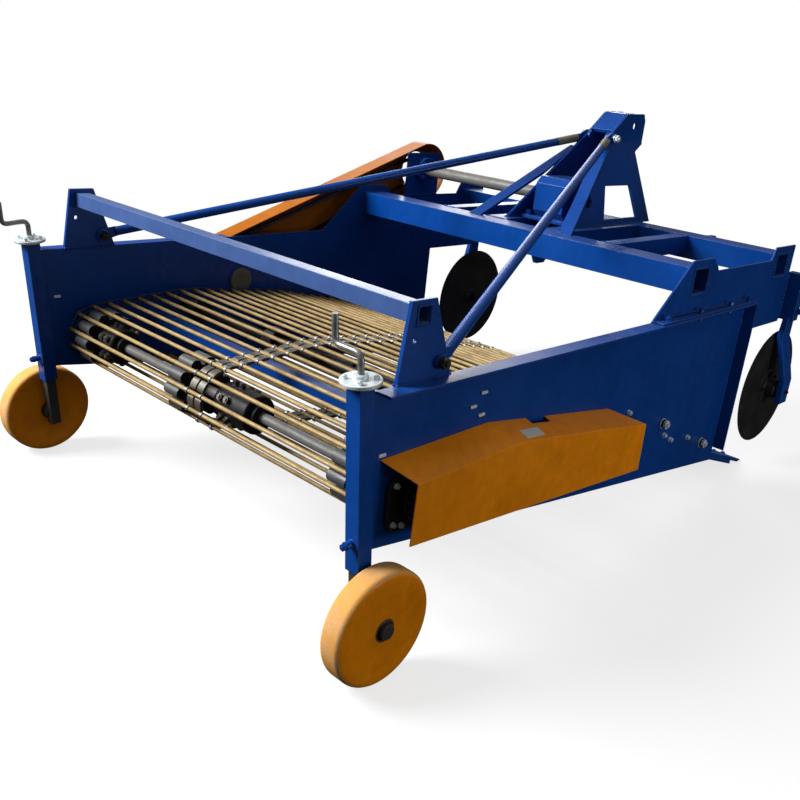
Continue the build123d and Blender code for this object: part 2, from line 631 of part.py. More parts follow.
def stay():
    """Tube with a bolted eye at each end, from the rear bracket to the mast's ear."""
    bracket = HALF_WIDTH - BRACKET_SHEET
    run_y, run_z = STAY_TOP_Y - STAY_FOOT_Y, STAY_TOP_Z - STAY_FOOT_Z
    reach = math.hypot(run_y, run_z)
    dy, dz = STAY_EYE_LENGTH * run_y / reach, STAY_EYE_LENGTH * run_z / reach
    foot_end = (STAY_FOOT_Y + dy, STAY_FOOT_Z + dz)
    top_end = (STAY_TOP_Y - dy, STAY_TOP_Z - dz)
    foot_eye = belt_solid([(STAY_FOOT_Y, STAY_FOOT_Z, STAY_EYE_R), (*foot_end, STAY_R)], bracket - STAY_TAB, bracket)
    top_eye = belt_solid([(STAY_TOP_Y, STAY_TOP_Z, STAY_EYE_R), (*top_end, STAY_R)], EAR_OUT, EAR_OUT + STAY_TAB)
    tube = bar(Circle(STAY_R), (bracket - STAY_TAB, *foot_end), (EAR_OUT + STAY_TAB, *top_end), (0, 0, 1))
    rod = tube - block((bracket, HALF_WIDTH), (0, PLATE_FRONT), (PLATE_TOP, BEND_Z)) + foot_eye + top_eye - mast_plate()
    bolts = []
    for x0, x1, y, z in ((bracket - STAY_TAB - STAY_HEAD, HALF_WIDTH + STAY_HEAD, STAY_FOOT_Y, STAY_FOOT_Z),
                         (EAR_IN - STAY_HEAD, EAR_OUT + STAY_TAB + STAY_HEAD, STAY_TOP_Y, STAY_TOP_Z)):
        bolts += [shaft(STAY_BOLT_R, x0, x1, y, z), shaft(STAY_HEAD_R, x0, x0 + STAY_HEAD, y, z),
                  shaft(STAY_HEAD_R, x1 - STAY_HEAD, x1, y, z)]
    return rod + bolts


def web_circles():
    """Path of the rods' centres round the drive wheels, the front idlers and the rollers."""
    seat = ROD_R + STAR_SEAT
    path = [(STAR_Y, STAR_Z, STAR_R), (IDLER_Y, IDLER_Z, IDLER_R + seat)]
    return path + [(y, z, ROLLER_R + seat) for y, z in reversed(ROLLERS)]


def rod_web():
    """Loop of rods, hooked together by rows of links at both ends and in the middle."""
    stations = belt_stations(web_circles(), ROD_PITCH)
    section = Plane.YZ * RegularPolygon(ROD_R, ROD_SIDES)
    rod = Pos(-ROD_HALF, 0, 0) * extrude(section, 2 * ROD_HALF, dir=(1, 0, 0))
    rods = [Pos(0, y, z) * rod for y, z, _ in stations]
    rims = []
    for shift in (BAND_T / 2, -BAND_T / 2):
        rims.append([(y + shift * math.cos(a), z + shift * math.sin(a)) for y, z, a in stations])
    rows = []
    for x in (BAND_W / 2 - ROD_HALF, 0, ROD_HALF - BAND_W / 2):
        across = (x - BAND_W / 2, x + BAND_W / 2)
        rows.append(sheet(rims[0], *across) - sheet(rims[1], *across))
    return rows[0].fuse(*rows[1:], *rods)


def star_profile():
    """Toothed wheel whose tooth gaps hold the rods."""
    root = STAR_R - ROD_R - STAR_SEAT
    tip = STAR_R + STAR_TIP
    gap = 360 / STAR_TEETH
    first = math.degrees(belt(web_circles())[0]["from"]) + gap / 2
    half = STAR_R * math.tan(math.radians(gap / 2)) - 2 * ROD_R
    tooth = Polygon((root - ROD_R, -half), (tip, -half / 2), (tip, half / 2), (root - ROD_R, half), align=None)
    return Circle(root) + [Rot(0, 0, first + k * gap) * tooth for k in range(STAR_TEETH)]


def sprocket(radius, side, y, z):
    """Chain wheel in the cover of one side: 1 for the right, -1 for the left."""
    return shaft(radius - CHAIN_T / 2 - FIT, side * CHAIN_X, side * (CHAIN_X + CHAIN_W), y, z)


def drive_shaft():
    end = CHAIN_X + CHAIN_W
    piece = shaft(STAR_SHAFT_R, -end, end, STAR_Y, STAR_Z)
    wheels = [(start, length, toothed) for start, length, toothed in MID_WHEELS]
    for side, distance, length, toothed in END_WHEELS:
        outer = side * (INNER - distance)
        wheels.append((min(outer, outer - side * length), length, toothed))
    star = Plane.YZ * star_profile()
    for start, length, toothed in wheels:
        if toothed:
            piece += Pos(start, STAR_Y, STAR_Z) * extrude(star, length, dir=(1, 0, 0))
        else:
            piece += shaft(SLEEVE_R, start, start + length, STAR_Y, STAR_Z)
    return piece + [sprocket(SPROCKET_STAR, side, STAR_Y, STAR_Z) for side in (1, -1)]


def drive_bearings():
    right = shaft(BEARING_R, HALF_WIDTH, HALF_WIDTH + BEARING_LENGTH, STAR_Y, STAR_Z)
    return both_sides(right - shaft(STAR_SHAFT_R + FIT, HALF_WIDTH, HALF_WIDTH + BEARING_LENGTH, STAR_Y, STAR_Z))


def roller_places():
    """Middles of the rollers on one shaft."""
    outer = INNER - ROLLER_INSET
    return (-outer, -ROLLER_MID, ROLLER_MID, outer)


def roller_shaft(y, z, radius):
    end = HALF_WIDTH + SHAFT_END
    rollers = [shaft(radius, x - ROLLER_W / 2, x + ROLLER_W / 2, y, z) for x in roller_places()]
    return shaft(ROLLER_SHAFT_R, -end, end, y, z) + rollers


def shaker_shaft():
    piece = shaft(ROLLER_SHAFT_R, -HALF_WIDTH - SHAFT_END, CHAIN_X + CHAIN_W, SHAKER_Y, SHAKER_Z)
    beaters = [Pos(x, SHAKER_Y, SHAKER_Z) * Box(ROLLER_W, 2 * SHAKER_R, SHAKER_R) for x in roller_places()]
    return piece + beaters + sprocket(SPROCKET_SHAKER, 1, SHAKER_Y, SHAKER_Z)


def guide_discs():
    return both_sides(shaft(GUIDE_R, INNER - GUIDE_T, INNER, GUIDE_Y, GUIDE_Z))


def chain(circles, side):
    """Closed chain round two chain wheels, as one fixed loop."""
    x0, x1 = sorted((side * CHAIN_X, side * (CHAIN_X + CHAIN_W)))
    outer = belt_solid([(y, z, r + CHAIN_T / 2) for y, z, r in circles], x0, x1)
    return outer - belt_solid([(y, z, r - CHAIN_T / 2) for y, z, r in circles], x0, x1)


def hood(wall, end, opening, x0, x1):
    """Solid of the right cover with its closed walls moved in and its open sides moved out."""
    moves = {"rear top": (-opening, -wall), "crest": (0, -wall), "bend": (0, -wall), "front top": (-end, -wall),
             "front bottom": (-end, -opening), "rear bottom": (-opening, -opening)}
    faces = []
    for x, column in ((x0, 1), (x1, 3)):
        points = []
        for row in RIGHT_COVER:
            dy, dz = moves[row[0]]
            points.append((STAR_Y + row[column] + dy, STAR_Z + row[column + 1] + dz))
        faces.append(Pos(x, 0, 0) * (Plane.YZ * Polygon(*points, align=None)))
    return loft(faces, ruled=True)


def right_cover():
    wall = COVER_SHEET
    shell = hood(0, 0, 0, HALF_WIDTH, COVER_X)
    return shell - hood(wall, wall, FLANGE, HALF_WIDTH - wall, COVER_X - wall)


def left_cover():
    tray = belt_solid(left_cover_circles(0), -COVER_X, -HALF_WIDTH)
    tray -= belt_solid(left_cover_circles(-COVER_SHEET), -COVER_X + COVER_SHEET, -HALF_WIDTH)
    y, z, _ = left_cover_circles(0)[1]
    return tray - shaft(COVER_HOLE_R, -COVER_X, -HALF_WIDTH, y, z)


def share_under(y):
    """Height of the share's underside at a station."""
    return SHARE_REAR_Z - SHARE_T - (y - SHARE_REAR) * (SHARE_REAR_Z - SHARE_EDGE) / SHARE_LENGTH


def share_blade():
    outline = [(SHARE_REAR, SHARE_REAR_Z), (SHARE_TIP, SHARE_EDGE), (SHARE_TIP, 0),
               (SHARE_TIP - SHARE_REST, 0), (SHARE_REAR, SHARE_REAR_Z - SHARE_T)]
    return sheet(outline, -INNER + FIT, INNER - FIT)


def share_arms():
    """Bars under the share, from the side plates' lower corners forward."""
    slope = (SHARE_REAR_Z - SHARE_T) / (SHARE_LENGTH - SHARE_REST)
    rear = SHARE_REAR_Z - SHARE_T
    front = rear - slope * (ARM_FRONT - SHARE_REAR)
    outline = [(SHARE_REAR, rear), (ARM_FRONT, front), (ARM_FRONT, front - ARM_T), (SHARE_REAR, rear - ARM_T)]
    return both_sides(sheet(outline, INNER - ARM_W, INNER))


def coulter_leg():
    """Clamp on the head plate's front edge with a bent arm that carries the disc's axle."""
    clamp_bottom = HEAD_BOTTOM + CLAMP_RISE
    clamp = block((INNER, HALF_WIDTH + CLAMP_OUT), (HEAD_FRONT, HEAD_FRONT + CLAMP_DEPTH),
                  (clamp_bottom, clamp_bottom + CLAMP_HEIGHT))
    inside = DISC_X + DISC_T / 2 + SHANK_GAP
    foot_in = DISC_X + DISC_T / 2 + DISC_HUB_OUT + AXLE_NUT
    bend, knee, foot = DISC_Z + COULTER_BEND, DISC_Z + COULTER_KNEE, DISC_Z - COULTER_FOOT
    top = clamp_bottom + CLAMP_RISE
    section = [(inside, top), (inside, bend), (foot_in, knee), (foot_in, foot), (foot_in + SHANK_T, foot),
               (foot_in + SHANK_T, knee), (inside + SHANK_T, bend), (inside + SHANK_T, top)]
    shank_y = HEAD_FRONT + CLAMP_DEPTH / 2
    outline = [(shank_y - SHANK_W / 2, top), (shank_y - COULTER_W / 2, bend), (DISC_Y - COULTER_FOOT_W / 2, foot),
               (DISC_Y + COULTER_FOOT_W / 2, foot), (shank_y + SHANK_W / 2, bend), (shank_y + SHANK_W / 2, top)]
    arm = ribbon(section, shank_y - COULTER_W, shank_y + COULTER_W) & sheet(outline, inside, foot_in + SHANK_T)
    hub_in = DISC_X - DISC_T / 2 - DISC_HUB_IN
    axle = shaft(DISC_AXLE_R, hub_in - DISC_NUT, foot_in, DISC_Y, DISC_Z)
    nut = shaft(2 * DISC_AXLE_R, hub_in - DISC_NUT, hub_in - FIT, DISC_Y, DISC_Z)
    collar = shaft(2 * DISC_AXLE_R, foot_in - AXLE_NUT + FIT, foot_in, DISC_Y, DISC_Z)
    return clamp + arm + axle + nut + collar


def coulter_disc():
    inside, outside = DISC_X - DISC_T / 2, DISC_X + DISC_T / 2
    blade = shaft(DISC_R, inside, outside, DISC_Y, DISC_Z)
    hub = (inside - DISC_HUB_IN, outside + DISC_HUB_OUT)
    return blade + shaft(DISC_HUB_R, *hub, DISC_Y, DISC_Z) - shaft(DISC_AXLE_R + FIT, *hub, DISC_Y, DISC_Z)


def save(name, piece):
    """Write one piece, with the origin moved to the middle of the footprint on the ground."""
    export_step(Pos(0, -MID_Y, 0) * piece, "parts/" + name + ".step")


def save_pair(name, right):
    """Write a right-hand piece and its mirror image."""
    save(name + "_right", right)
    save(name + "_left", mirror(right, about=Plane.YZ))


os.makedirs("parts", exist_ok=True)

save("side_plate_right", side_plate())
save("side_plate_left", mirror(side_plate(), about=Plane.YZ) - left_cover_room())
save("head_plate_right", head_plate())
save("head_plate_left", mirror(head_plate(), about=Plane.YZ) - left_cover_room())
save("rear_beam", beam(REAR_BEAM_Y))
save("front_beam", beam(FRONT_BEAM_Y))
save("beam_ties", beam_ties())

save_pair("mast_plate", mast_plate())
save("mast_head", mast_head())
save("mast_braces", mast_braces())
save("gearbox_seat", gearbox_seat())
save("gearbox", gearbox())
save("pto_shaft", pto_shaft())
save("cross_shaft", cross_shaft())
save("bearing_post", bearing_post())
save_pair("lower_link", lower_link())

save_pair("post", post())
save_pair("jack_flange", jack_flange())
save("crank_right", crank(-1, 0))
save("crank_left", mirror(crank(0, -1), about=Plane.YZ))
save_pair("leg", leg())
save_pair("wheel", wheel())

save_pair("rear_bracket", rear_bracket())
save("rear_cross_tube", box_tube(HALF_WIDTH, CROSS_Y, CROSS_Z, CROSS_W, CROSS_W, CROSS_WALL))
save_pair("stay", stay())

save("rod_web", rod_web())
save("drive_shaft", drive_shaft())
save("drive_bearings", drive_bearings())
for number, (roller_y, roller_z) in enumerate(ROLLERS, start=1):
    save("roller_shaft_" + str(number), roller_shaft(roller_y, roller_z, ROLLER_R))
save("idler_shaft", roller_shaft(IDLER_Y, IDLER_Z, IDLER_R))
save("shaker_shaft", shaker_shaft())
save("cross_member", box_tube(INNER, MEMBER_Y, MEMBER_Z, MEMBER_W, MEMBER_W, MEMBER_WALL))
save("guide_discs", guide_discs())
save("chain_right", chain([(STAR_Y, STAR_Z, SPROCKET_STAR), (SHAKER_Y, SHAKER_Z, SPROCKET_SHAKER)], 1))
save("chain_left", chain([(STAR_Y, STAR_Z, SPROCKET_STAR), (SHAFT_Y, SHAFT_Z, SPROCKET_CROSS)], -1))
save("chain_cover_right", right_cover())
save("chain_cover_left", left_cover())

save("share_blade", share_blade())
save("share_arms", share_arms())
save_pair("coulter_leg", coulter_leg())
save_pair("coulter_disc", coulter_disc())
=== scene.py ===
"""Dresses the solids of a mounted potato digger: paint, rods, links, chains, bolts, welds and wheels."""

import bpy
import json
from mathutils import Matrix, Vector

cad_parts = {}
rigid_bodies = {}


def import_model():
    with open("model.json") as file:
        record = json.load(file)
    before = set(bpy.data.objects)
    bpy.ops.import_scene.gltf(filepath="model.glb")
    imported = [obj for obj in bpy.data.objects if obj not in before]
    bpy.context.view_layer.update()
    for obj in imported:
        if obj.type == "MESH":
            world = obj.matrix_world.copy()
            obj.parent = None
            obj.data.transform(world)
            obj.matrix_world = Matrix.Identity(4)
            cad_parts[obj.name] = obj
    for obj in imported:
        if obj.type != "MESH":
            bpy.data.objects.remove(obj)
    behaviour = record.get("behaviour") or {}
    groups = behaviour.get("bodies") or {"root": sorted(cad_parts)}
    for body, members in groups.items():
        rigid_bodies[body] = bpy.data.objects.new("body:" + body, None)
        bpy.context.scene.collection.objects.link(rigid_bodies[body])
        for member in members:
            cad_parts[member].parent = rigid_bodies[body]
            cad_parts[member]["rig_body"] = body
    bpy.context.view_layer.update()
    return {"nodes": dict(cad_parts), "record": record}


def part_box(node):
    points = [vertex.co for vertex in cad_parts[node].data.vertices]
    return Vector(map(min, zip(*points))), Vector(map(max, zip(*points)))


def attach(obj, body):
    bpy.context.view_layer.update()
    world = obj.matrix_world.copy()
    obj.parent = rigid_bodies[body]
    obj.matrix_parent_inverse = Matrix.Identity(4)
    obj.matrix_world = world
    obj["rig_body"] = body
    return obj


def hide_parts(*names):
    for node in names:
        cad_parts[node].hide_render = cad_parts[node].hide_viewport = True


bl_info = {
    "name": "Potato digger",
    "version": (1, 0, 0),
    "blender": (4, 5, 0),
    "location": "View3D > Sidebar > Digger",
    "description": "Dresses a mounted potato digger with paint, rods, links, bolts and welds",
    "category": "Object",
}

import json
import math

import bmesh
import bpy
from bpy.props import FloatProperty, FloatVectorProperty, IntProperty, PointerProperty
from mathutils import Matrix, Vector

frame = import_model()

MM = 0.001
BRACKET_STATION = 100                      # rear brackets' lower corner, counted from the rear posts' tops
POSTS_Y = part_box("rear_bracket_right")[0].y - BRACKET_STATION * MM
SIDES = ((1, "right"), (-1, "left"))

# Places that the solids have, in millimetres: stations count forward from the rear posts' tops
OUTER, INNER = 700, 694                    # side plates' faces
POST_X, POST_TOP, POST_LEAN = 697, 676, math.radians(5.5)
WHEEL_IN, WHEEL_WIDTH, WHEEL_R = 722, 60, 136
DISC_X, DISC_R = 708, 210
DISC_AXLE = (2075, 294)
STAR = (187, 384)                          # drive shaft of the web
STAR_TEETH = 10
IDLER = (1627, 172, 51)
ROLLERS = ((1316, 308, 46), (900, 397, 46), (520, 439, 46))
SHAKER = (860, 305)
CROSS_SHAFT = (1650, 870)
CHAIN_X = 743
LINK_ROW_X = -14                           # middle row of links, off the centre line

COAT_ROUGHNESS = 0.15
SHEEN_ROUGHNESS = 0.4
EDGE_WEAR = 0.12                           # share of bare metal on the rounded edges
BUMP_DEPTH = 0.002
NOISE_ROUGHNESS = 0.55
FIRST_COLOUR, SECOND_COLOUR, MIXED_COLOUR = 6, 7, 2   # sockets of a mix node that carry colours
CREASE = 32                                # degrees between faces from which an edge is shaded sharp
ROUNDED_FROM = math.radians(35)            # angle from which an edge is rounded
SAME_POINT, SAME_PLANE = 1e-5, math.radians(0.5)

# Washer, head and thread end of a bolt: sides, then radius, depth and middle as shares of its size
BOLT = ((20, 0.66, 0.12, 0.06), (6, 0.577, 0.55, 0.39), (12, 0.30, 0.22, 0.75))


def length(label, words, value):
    """Length property with its name, description and default."""
    return FloatProperty(name=label, description=words, default=value, unit="LENGTH")


def colour(label, words, value):
    """Colour property with its name, description and default."""
    return FloatVectorProperty(name=label, description=words, subtype="COLOR", size=4, min=0, max=1,
                               default=(*value, 1))


class DiggerSizes(bpy.types.PropertyGroup):
    """Sizes of the details."""

    edge: length("Plate edges", "Rounding of plate and tube edges", 0.0014)
    rod_radius: length("Rod radius", "Radius of the web's rods", 0.0055)
    rod_pitch: length("Rod pitch", "Spacing of the web's rods", 0.052)
    rod_half: length("Rod half length", "From the centre line to a rod's end", 0.678)
    link_wire: length("Link wire", "Radius of the wire that joins the rods' ends", 0.0017)
    link_width: length("Link width", "Width of a link plate in the web's middle row", 0.026)
    chain_pitch: length("Chain pitch", "Spacing of the drive chains' pins", 0.01905)
    chain_roller: length("Chain roller", "Radius of the drive chains' rollers", 0.0045)
    chain_width: length("Chain width", "Length of the drive chains' rollers", 0.0072)
    bead: length("Weld bead", "Radius of a weld bead's ripple", 0.0042)
    bead_pitch: length("Weld ripple", "Spacing of a weld bead's ripples", 0.0042)
    crank_radius: length("Crank radius", "Radius of the jack cranks' bar", 0.007)
    turning_steps: IntProperty(name="Turning steps", description="Faces round the wheels", default=96)


class DiggerColours(bpy.types.PropertyGroup):
    """Colours of the finishes."""

    blue: colour("Blue", "Paint on the frame", (0.001, 0.047, 0.255))
    # Painted reflection: this paler blue stands for the sheen on the rear tube's lit faces, not for
    # bleached paint.
    faded: colour("Faded blue", "Sun-bleached paint on the rear tube", (0.042, 0.09, 0.255))
    orange: colour("Orange", "Paint on wheels and covers", (0.81, 0.25, 0.002))
    tread: colour("Tread", "Rubbed paint on the wheels' treads", (0.66, 0.31, 0.06))
    # Painted shade: this darker orange stands for the shade on the left cover, not for weathered paint.
    shaded: colour("Dull orange", "Weathered paint on the left cover", (0.37, 0.105, 0.0025))
    grease: colour("Grease", "Stain round the wheels' axles", (0.15, 0.065, 0.018))
    rods: colour("Rods", "Lacquered rod steel", (0.35, 0.245, 0.105))
    link: colour("Links", "Plated links of the web", (0.115, 0.113, 0.095))
    # this black also goes on the drive wheels' lug ends, where it is painted shade
    rubber: colour("Rubber", "Moulded hubs and lug ends", (0.006, 0.006, 0.007))
    # Painted light: the lugs' sides get this lighter grey as if lit, and their ends black as painted shade;
    # it is not rubbed wear.
    lug: colour("Lugs", "Rubbed lugs of the drive wheels", (0.056, 0.058, 0.063))
    zinc: colour("Zinc", "Plated bolts and jacks", (0.7, 0.77, 0.79))
    iron: colour("Iron", "Bearings and discs", (0.013, 0.013, 0.013))
    steel: colour("Steel", "Bare machined steel", (0.36, 0.365, 0.37))
    grey: colour("Grey", "Grey paint on the legs", (0.042, 0.041, 0.039))
    shaft: colour("Shaft", "Dull turned steel of the shafts", (0.15, 0.15, 0.145))
    pale: colour("Pale", "Blank plate", (0.58, 0.58, 0.55))
    chain: colour("Chain", "Oiled chain steel", (0.08, 0.077, 0.074))
    crank: colour("Crank", "Bare bent bar of the cranks", (0.22, 0.225, 0.22))
    guide: colour("Guide", "Worn guide discs", (0.16, 0.15, 0.115))
    rust: colour("Rust", "Stain on bare metal", (0.12, 0.055, 0.022))
    dust: colour("Dust", "Dry soil on level faces", (0.3, 0.26, 0.2))
    floor: colour("Floor", "Studio floor", (0.88, 0.88, 0.88))


def sizes():
    return bpy.context.scene.digger_sizes


def colours():
    return bpy.context.scene.digger_colours


def at(x, y, z):
    """Point given in millimetres, with its station counted from the rear posts' tops."""
    return Vector((x * MM, POSTS_Y + y * MM, z * MM))


def on_post(side, x, y, z):
    """Point on a leaning post, counted from the post's top along it."""
    c, s = math.cos(POST_LEAN), math.sin(POST_LEAN)
    return at(side * (POST_X + x), y * c - z * s, POST_TOP + y * s + z * c)


# Objects and meshes

def new_object(name, data):
    made = bpy.data.objects.new(name, data)
    bpy.context.scene.collection.objects.link(made)
    return made


def mesh_of(name, points, edges=(), faces=()):
    mesh = bpy.data.meshes.new(name)
    mesh.from_pydata([tuple(p) for p in points], edges, faces)
    return mesh


def outwards(mesh):
    """Turn all faces outwards."""
    shell = bmesh.new()
    shell.from_mesh(mesh)
    bmesh.ops.recalc_face_normals(shell, faces=shell.faces)
    shell.to_mesh(mesh)
    shell.free()


def closed_object(name, points, faces, materials=()):
    """Object with a closed mesh and its finishes."""
    mesh = mesh_of(name, points, (), faces)
    piece = new_object(name, mesh)
    outwards(mesh)
    for material in materials:
        mesh.materials.append(finish(material))
    return piece


def shade(mesh, angle=CREASE):
    """Smooth shading with creases at the sharper edges."""
    mesh.polygons.foreach_set("use_smooth", [True] * len(mesh.polygons))
    mesh.set_sharp_from_angle(angle=math.radians(angle))


def shown_mesh(piece):
    """Plain mesh of what an object's curve or modifiers make."""
    return bpy.data.meshes.new_from_object(piece.evaluated_get(bpy.context.evaluated_depsgraph_get()))


def bake(piece):
    """Turn what a piece's modifiers make into its plain mesh."""
    mesh = shown_mesh(piece)
    piece.modifiers.clear()
    piece.data = mesh


def settle(piece, body, slot, *nodes):
    """Put a finished piece on its body and hide the solids that it stands for; its slot is not used."""
    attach(piece, body)
    if nodes:
        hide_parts(*nodes)


def slot_of(node):
    return next(s["material_slot"] for s in frame["record"]["subparts"] if s["node"] == node)


def body_with(node):
    return frame["nodes"][node]["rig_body"]


# Nodes

class Wire:
    """Output of a node, which sums and products reckon with by further nodes."""

    def __init__(self, tree, socket):
        self.tree, self.socket = tree, socket

    def maths(self, operation, a, b):
        return out_of(self.tree, "ShaderNodeMath", {0: a, 1: b}, operation=operation)

    def __mul__(self, other):
        return self.maths("MULTIPLY", self, other)

    def __add__(self, other):
        return self.maths("ADD", self, other)

    def __sub__(self, other):
        return self.maths("SUBTRACT", self, other)

    def __mod__(self, other):
        return self.maths("MODULO", self, other)

    def spread(self, low, high, to_low=0.0, to_high=1.0):
        """Value stretched from one range to another."""
        return out_of(self.tree, "ShaderNodeMapRange", {"Value": self, "From Min": low, "From Max": high,
                                                        "To Min": to_low, "To Max": to_high})

    def varied(self, low, high):
        """Noise stretched from the range where most of it lies to another."""
        return self.spread(0.3, 0.7, low, high)


def plug(value, socket):
    """Give an input a wire or a plain value."""
    if isinstance(value, Wire):
        value.tree.links.new(value.socket, socket)
    else:
        socket.default_value = value


def add(tree, kind, inputs=None, **settings):
    """Node with its settings and inputs."""
    made = tree.nodes.new(kind)
    for key, value in settings.items():
        setattr(made, key, value)
    for key, value in (inputs or {}).items():
        plug(value, made.inputs[key])
    return made


def out_of(tree, kind, inputs=None, output=0, **settings):
    """Wire from a new node, from its first output or another."""
    return Wire(tree, add(tree, kind, inputs, **settings).outputs[output])


def new_tree(name, kind, inputs, outputs):
    """Node tree with named sockets, and the wires from its inputs."""
    tree = bpy.data.node_groups.new(name, kind)
    for direction, sockets in (("INPUT", inputs), ("OUTPUT", outputs)):
        for label, socket in sockets.items():
            tree.interface.new_socket(label, in_out=direction, socket_type="NodeSocket" + socket)
    given = zip(inputs, tree.nodes.new("NodeGroupInput").outputs)
    return tree, {label: Wire(tree, socket) for label, socket in given}


# Shader groups and finishes

def noise(tree, scale, detail=4.0, stretch=(1, 1, 1)):
    """Noise on Object coordinates, stretched along an axis where its factor is small."""
    place = out_of(tree, "ShaderNodeTexCoord", output="Object")
    mapped = out_of(tree, "ShaderNodeMapping", {"Vector": place, "Scale": stretch})
    return out_of(tree, "ShaderNodeTexNoise",
                  {"Vector": mapped, "Scale": scale, "Detail": detail, "Roughness": NOISE_ROUGHNESS})


def mixed(factor, a, b, blend="MIX"):
    """Mix of two colours, of which the second is a wire."""
    return out_of(b.tree, "ShaderNodeMix", {"Factor": factor, FIRST_COLOUR: a, SECOND_COLOUR: b},
                  MIXED_COLOUR, data_type="RGBA", blend_type=blend)


def toned(base, tone):
    """Colour made lighter or darker by a number."""
    grey = out_of(tone.tree, "ShaderNodeCombineColor", {0: tone, 1: tone, 2: tone})
    return mixed(1.0, base, grey, "MULTIPLY")


def shader_group(inputs, outputs):
    """Make a shader group, built once, of a function from its tree and inputs to its outputs."""
    def wrap(build):
        name = build.__name__.replace("_", " ")

        def made():
            if name not in bpy.data.node_groups:
                kinds = ({label: "Color" if label.endswith("Colour") else "Float" for label in labels}
                         for labels in (inputs, outputs))
                tree, given = new_tree(name, "ShaderNodeTree", *kinds)
                add(tree, "NodeGroupOutput", build(tree, given))
            return bpy.data.node_groups[name]
        return made
    return wrap


SKIN = ("Colour", "Second Colour", "Amount", "Roughness"), ("Colour", "Roughness", "Height")


@shader_group(*SKIN)
def paint_film(tree, given):
    """Sprayed paint: uneven film, faint runs, orange peel and dust on the level faces."""
    cloud = noise(tree, 4.0, 5)
    runs = noise(tree, 9.0, 3, (4, 4, 0.25))
    specks = noise(tree, 120.0, 6)
    peel = noise(tree, 420.0, 2)
    mottle = noise(tree, 34.0)
    tone = cloud.varied(0.86, 1.1) * runs.varied(0.97, 1.02) * mottle.varied(0.90, 1.08)
    normal = out_of(tree, "ShaderNodeNewGeometry", output="Normal")
    up = out_of(tree, "ShaderNodeSeparateXYZ", {0: normal}, "Z").spread(0.3, 1.0, 0.12, 1.0)
    drift = specks.spread(0.42, 0.78) * cloud.spread(0.35, 0.75)
    dust = up * drift * given["Amount"]
    uneven = cloud.varied(-0.07, 0.07) + dust * 0.5
    return {"Colour": mixed(dust, toned(given["Colour"], tone), given["Second Colour"]),
            "Roughness": given["Roughness"] + uneven, "Height": peel * 0.6 + cloud * 0.4}


@shader_group(("Colour", "Bare Colour", "Wear"), ("Colour", "Bare Mask"))
def edge_chips(tree, given):
    """Paint rubbed through to bare metal in patches, for the rounded edges."""
    patches = noise(tree, 16.0, 5) + noise(tree, 160.0, 5) * 0.35
    mask = (patches + given["Wear"]).spread(0.98, 1.06)
    rubbed = mixed(0.03, given["Colour"], given["Bare Colour"])
    return {"Colour": mixed(mask, rubbed, given["Bare Colour"]), "Bare Mask": mask}


@shader_group(*SKIN)
def metal_grain(tree, given):
    """Drawn or plated metal: fine lines along its length, stains and uneven gloss."""
    lines = noise(tree, 260.0, 3, (0.04, 1, 1))
    blotch = noise(tree, 22.0, 6)
    pits = noise(tree, 300.0)
    stain = blotch.spread(0.45, 0.72) * given["Amount"]
    drawn = toned(given["Colour"], lines.varied(0.82, 1.1))
    uneven = lines.varied(-0.08, 0.08) + stain * 0.4
    return {"Colour": mixed(stain, drawn, given["Second Colour"]), "Roughness": given["Roughness"] + uneven,
            "Height": lines + pits * 0.5}


@shader_group(*SKIN)
def cast_skin(tree, given):
    """Moulded rubber or cast iron: pebbled skin with pale dust in patches."""
    pebble = noise(tree, 240.0, 5)
    blotch = noise(tree, 14.0, 6)
    dust = blotch.spread(0.42, 0.75) * pebble.spread(0.35, 0.65) * given["Amount"]
    return {"Colour": mixed(dust, given["Colour"], given["Second Colour"]),
            "Roughness": given["Roughness"] + blotch.varied(-0.10, 0.12), "Height": pebble}


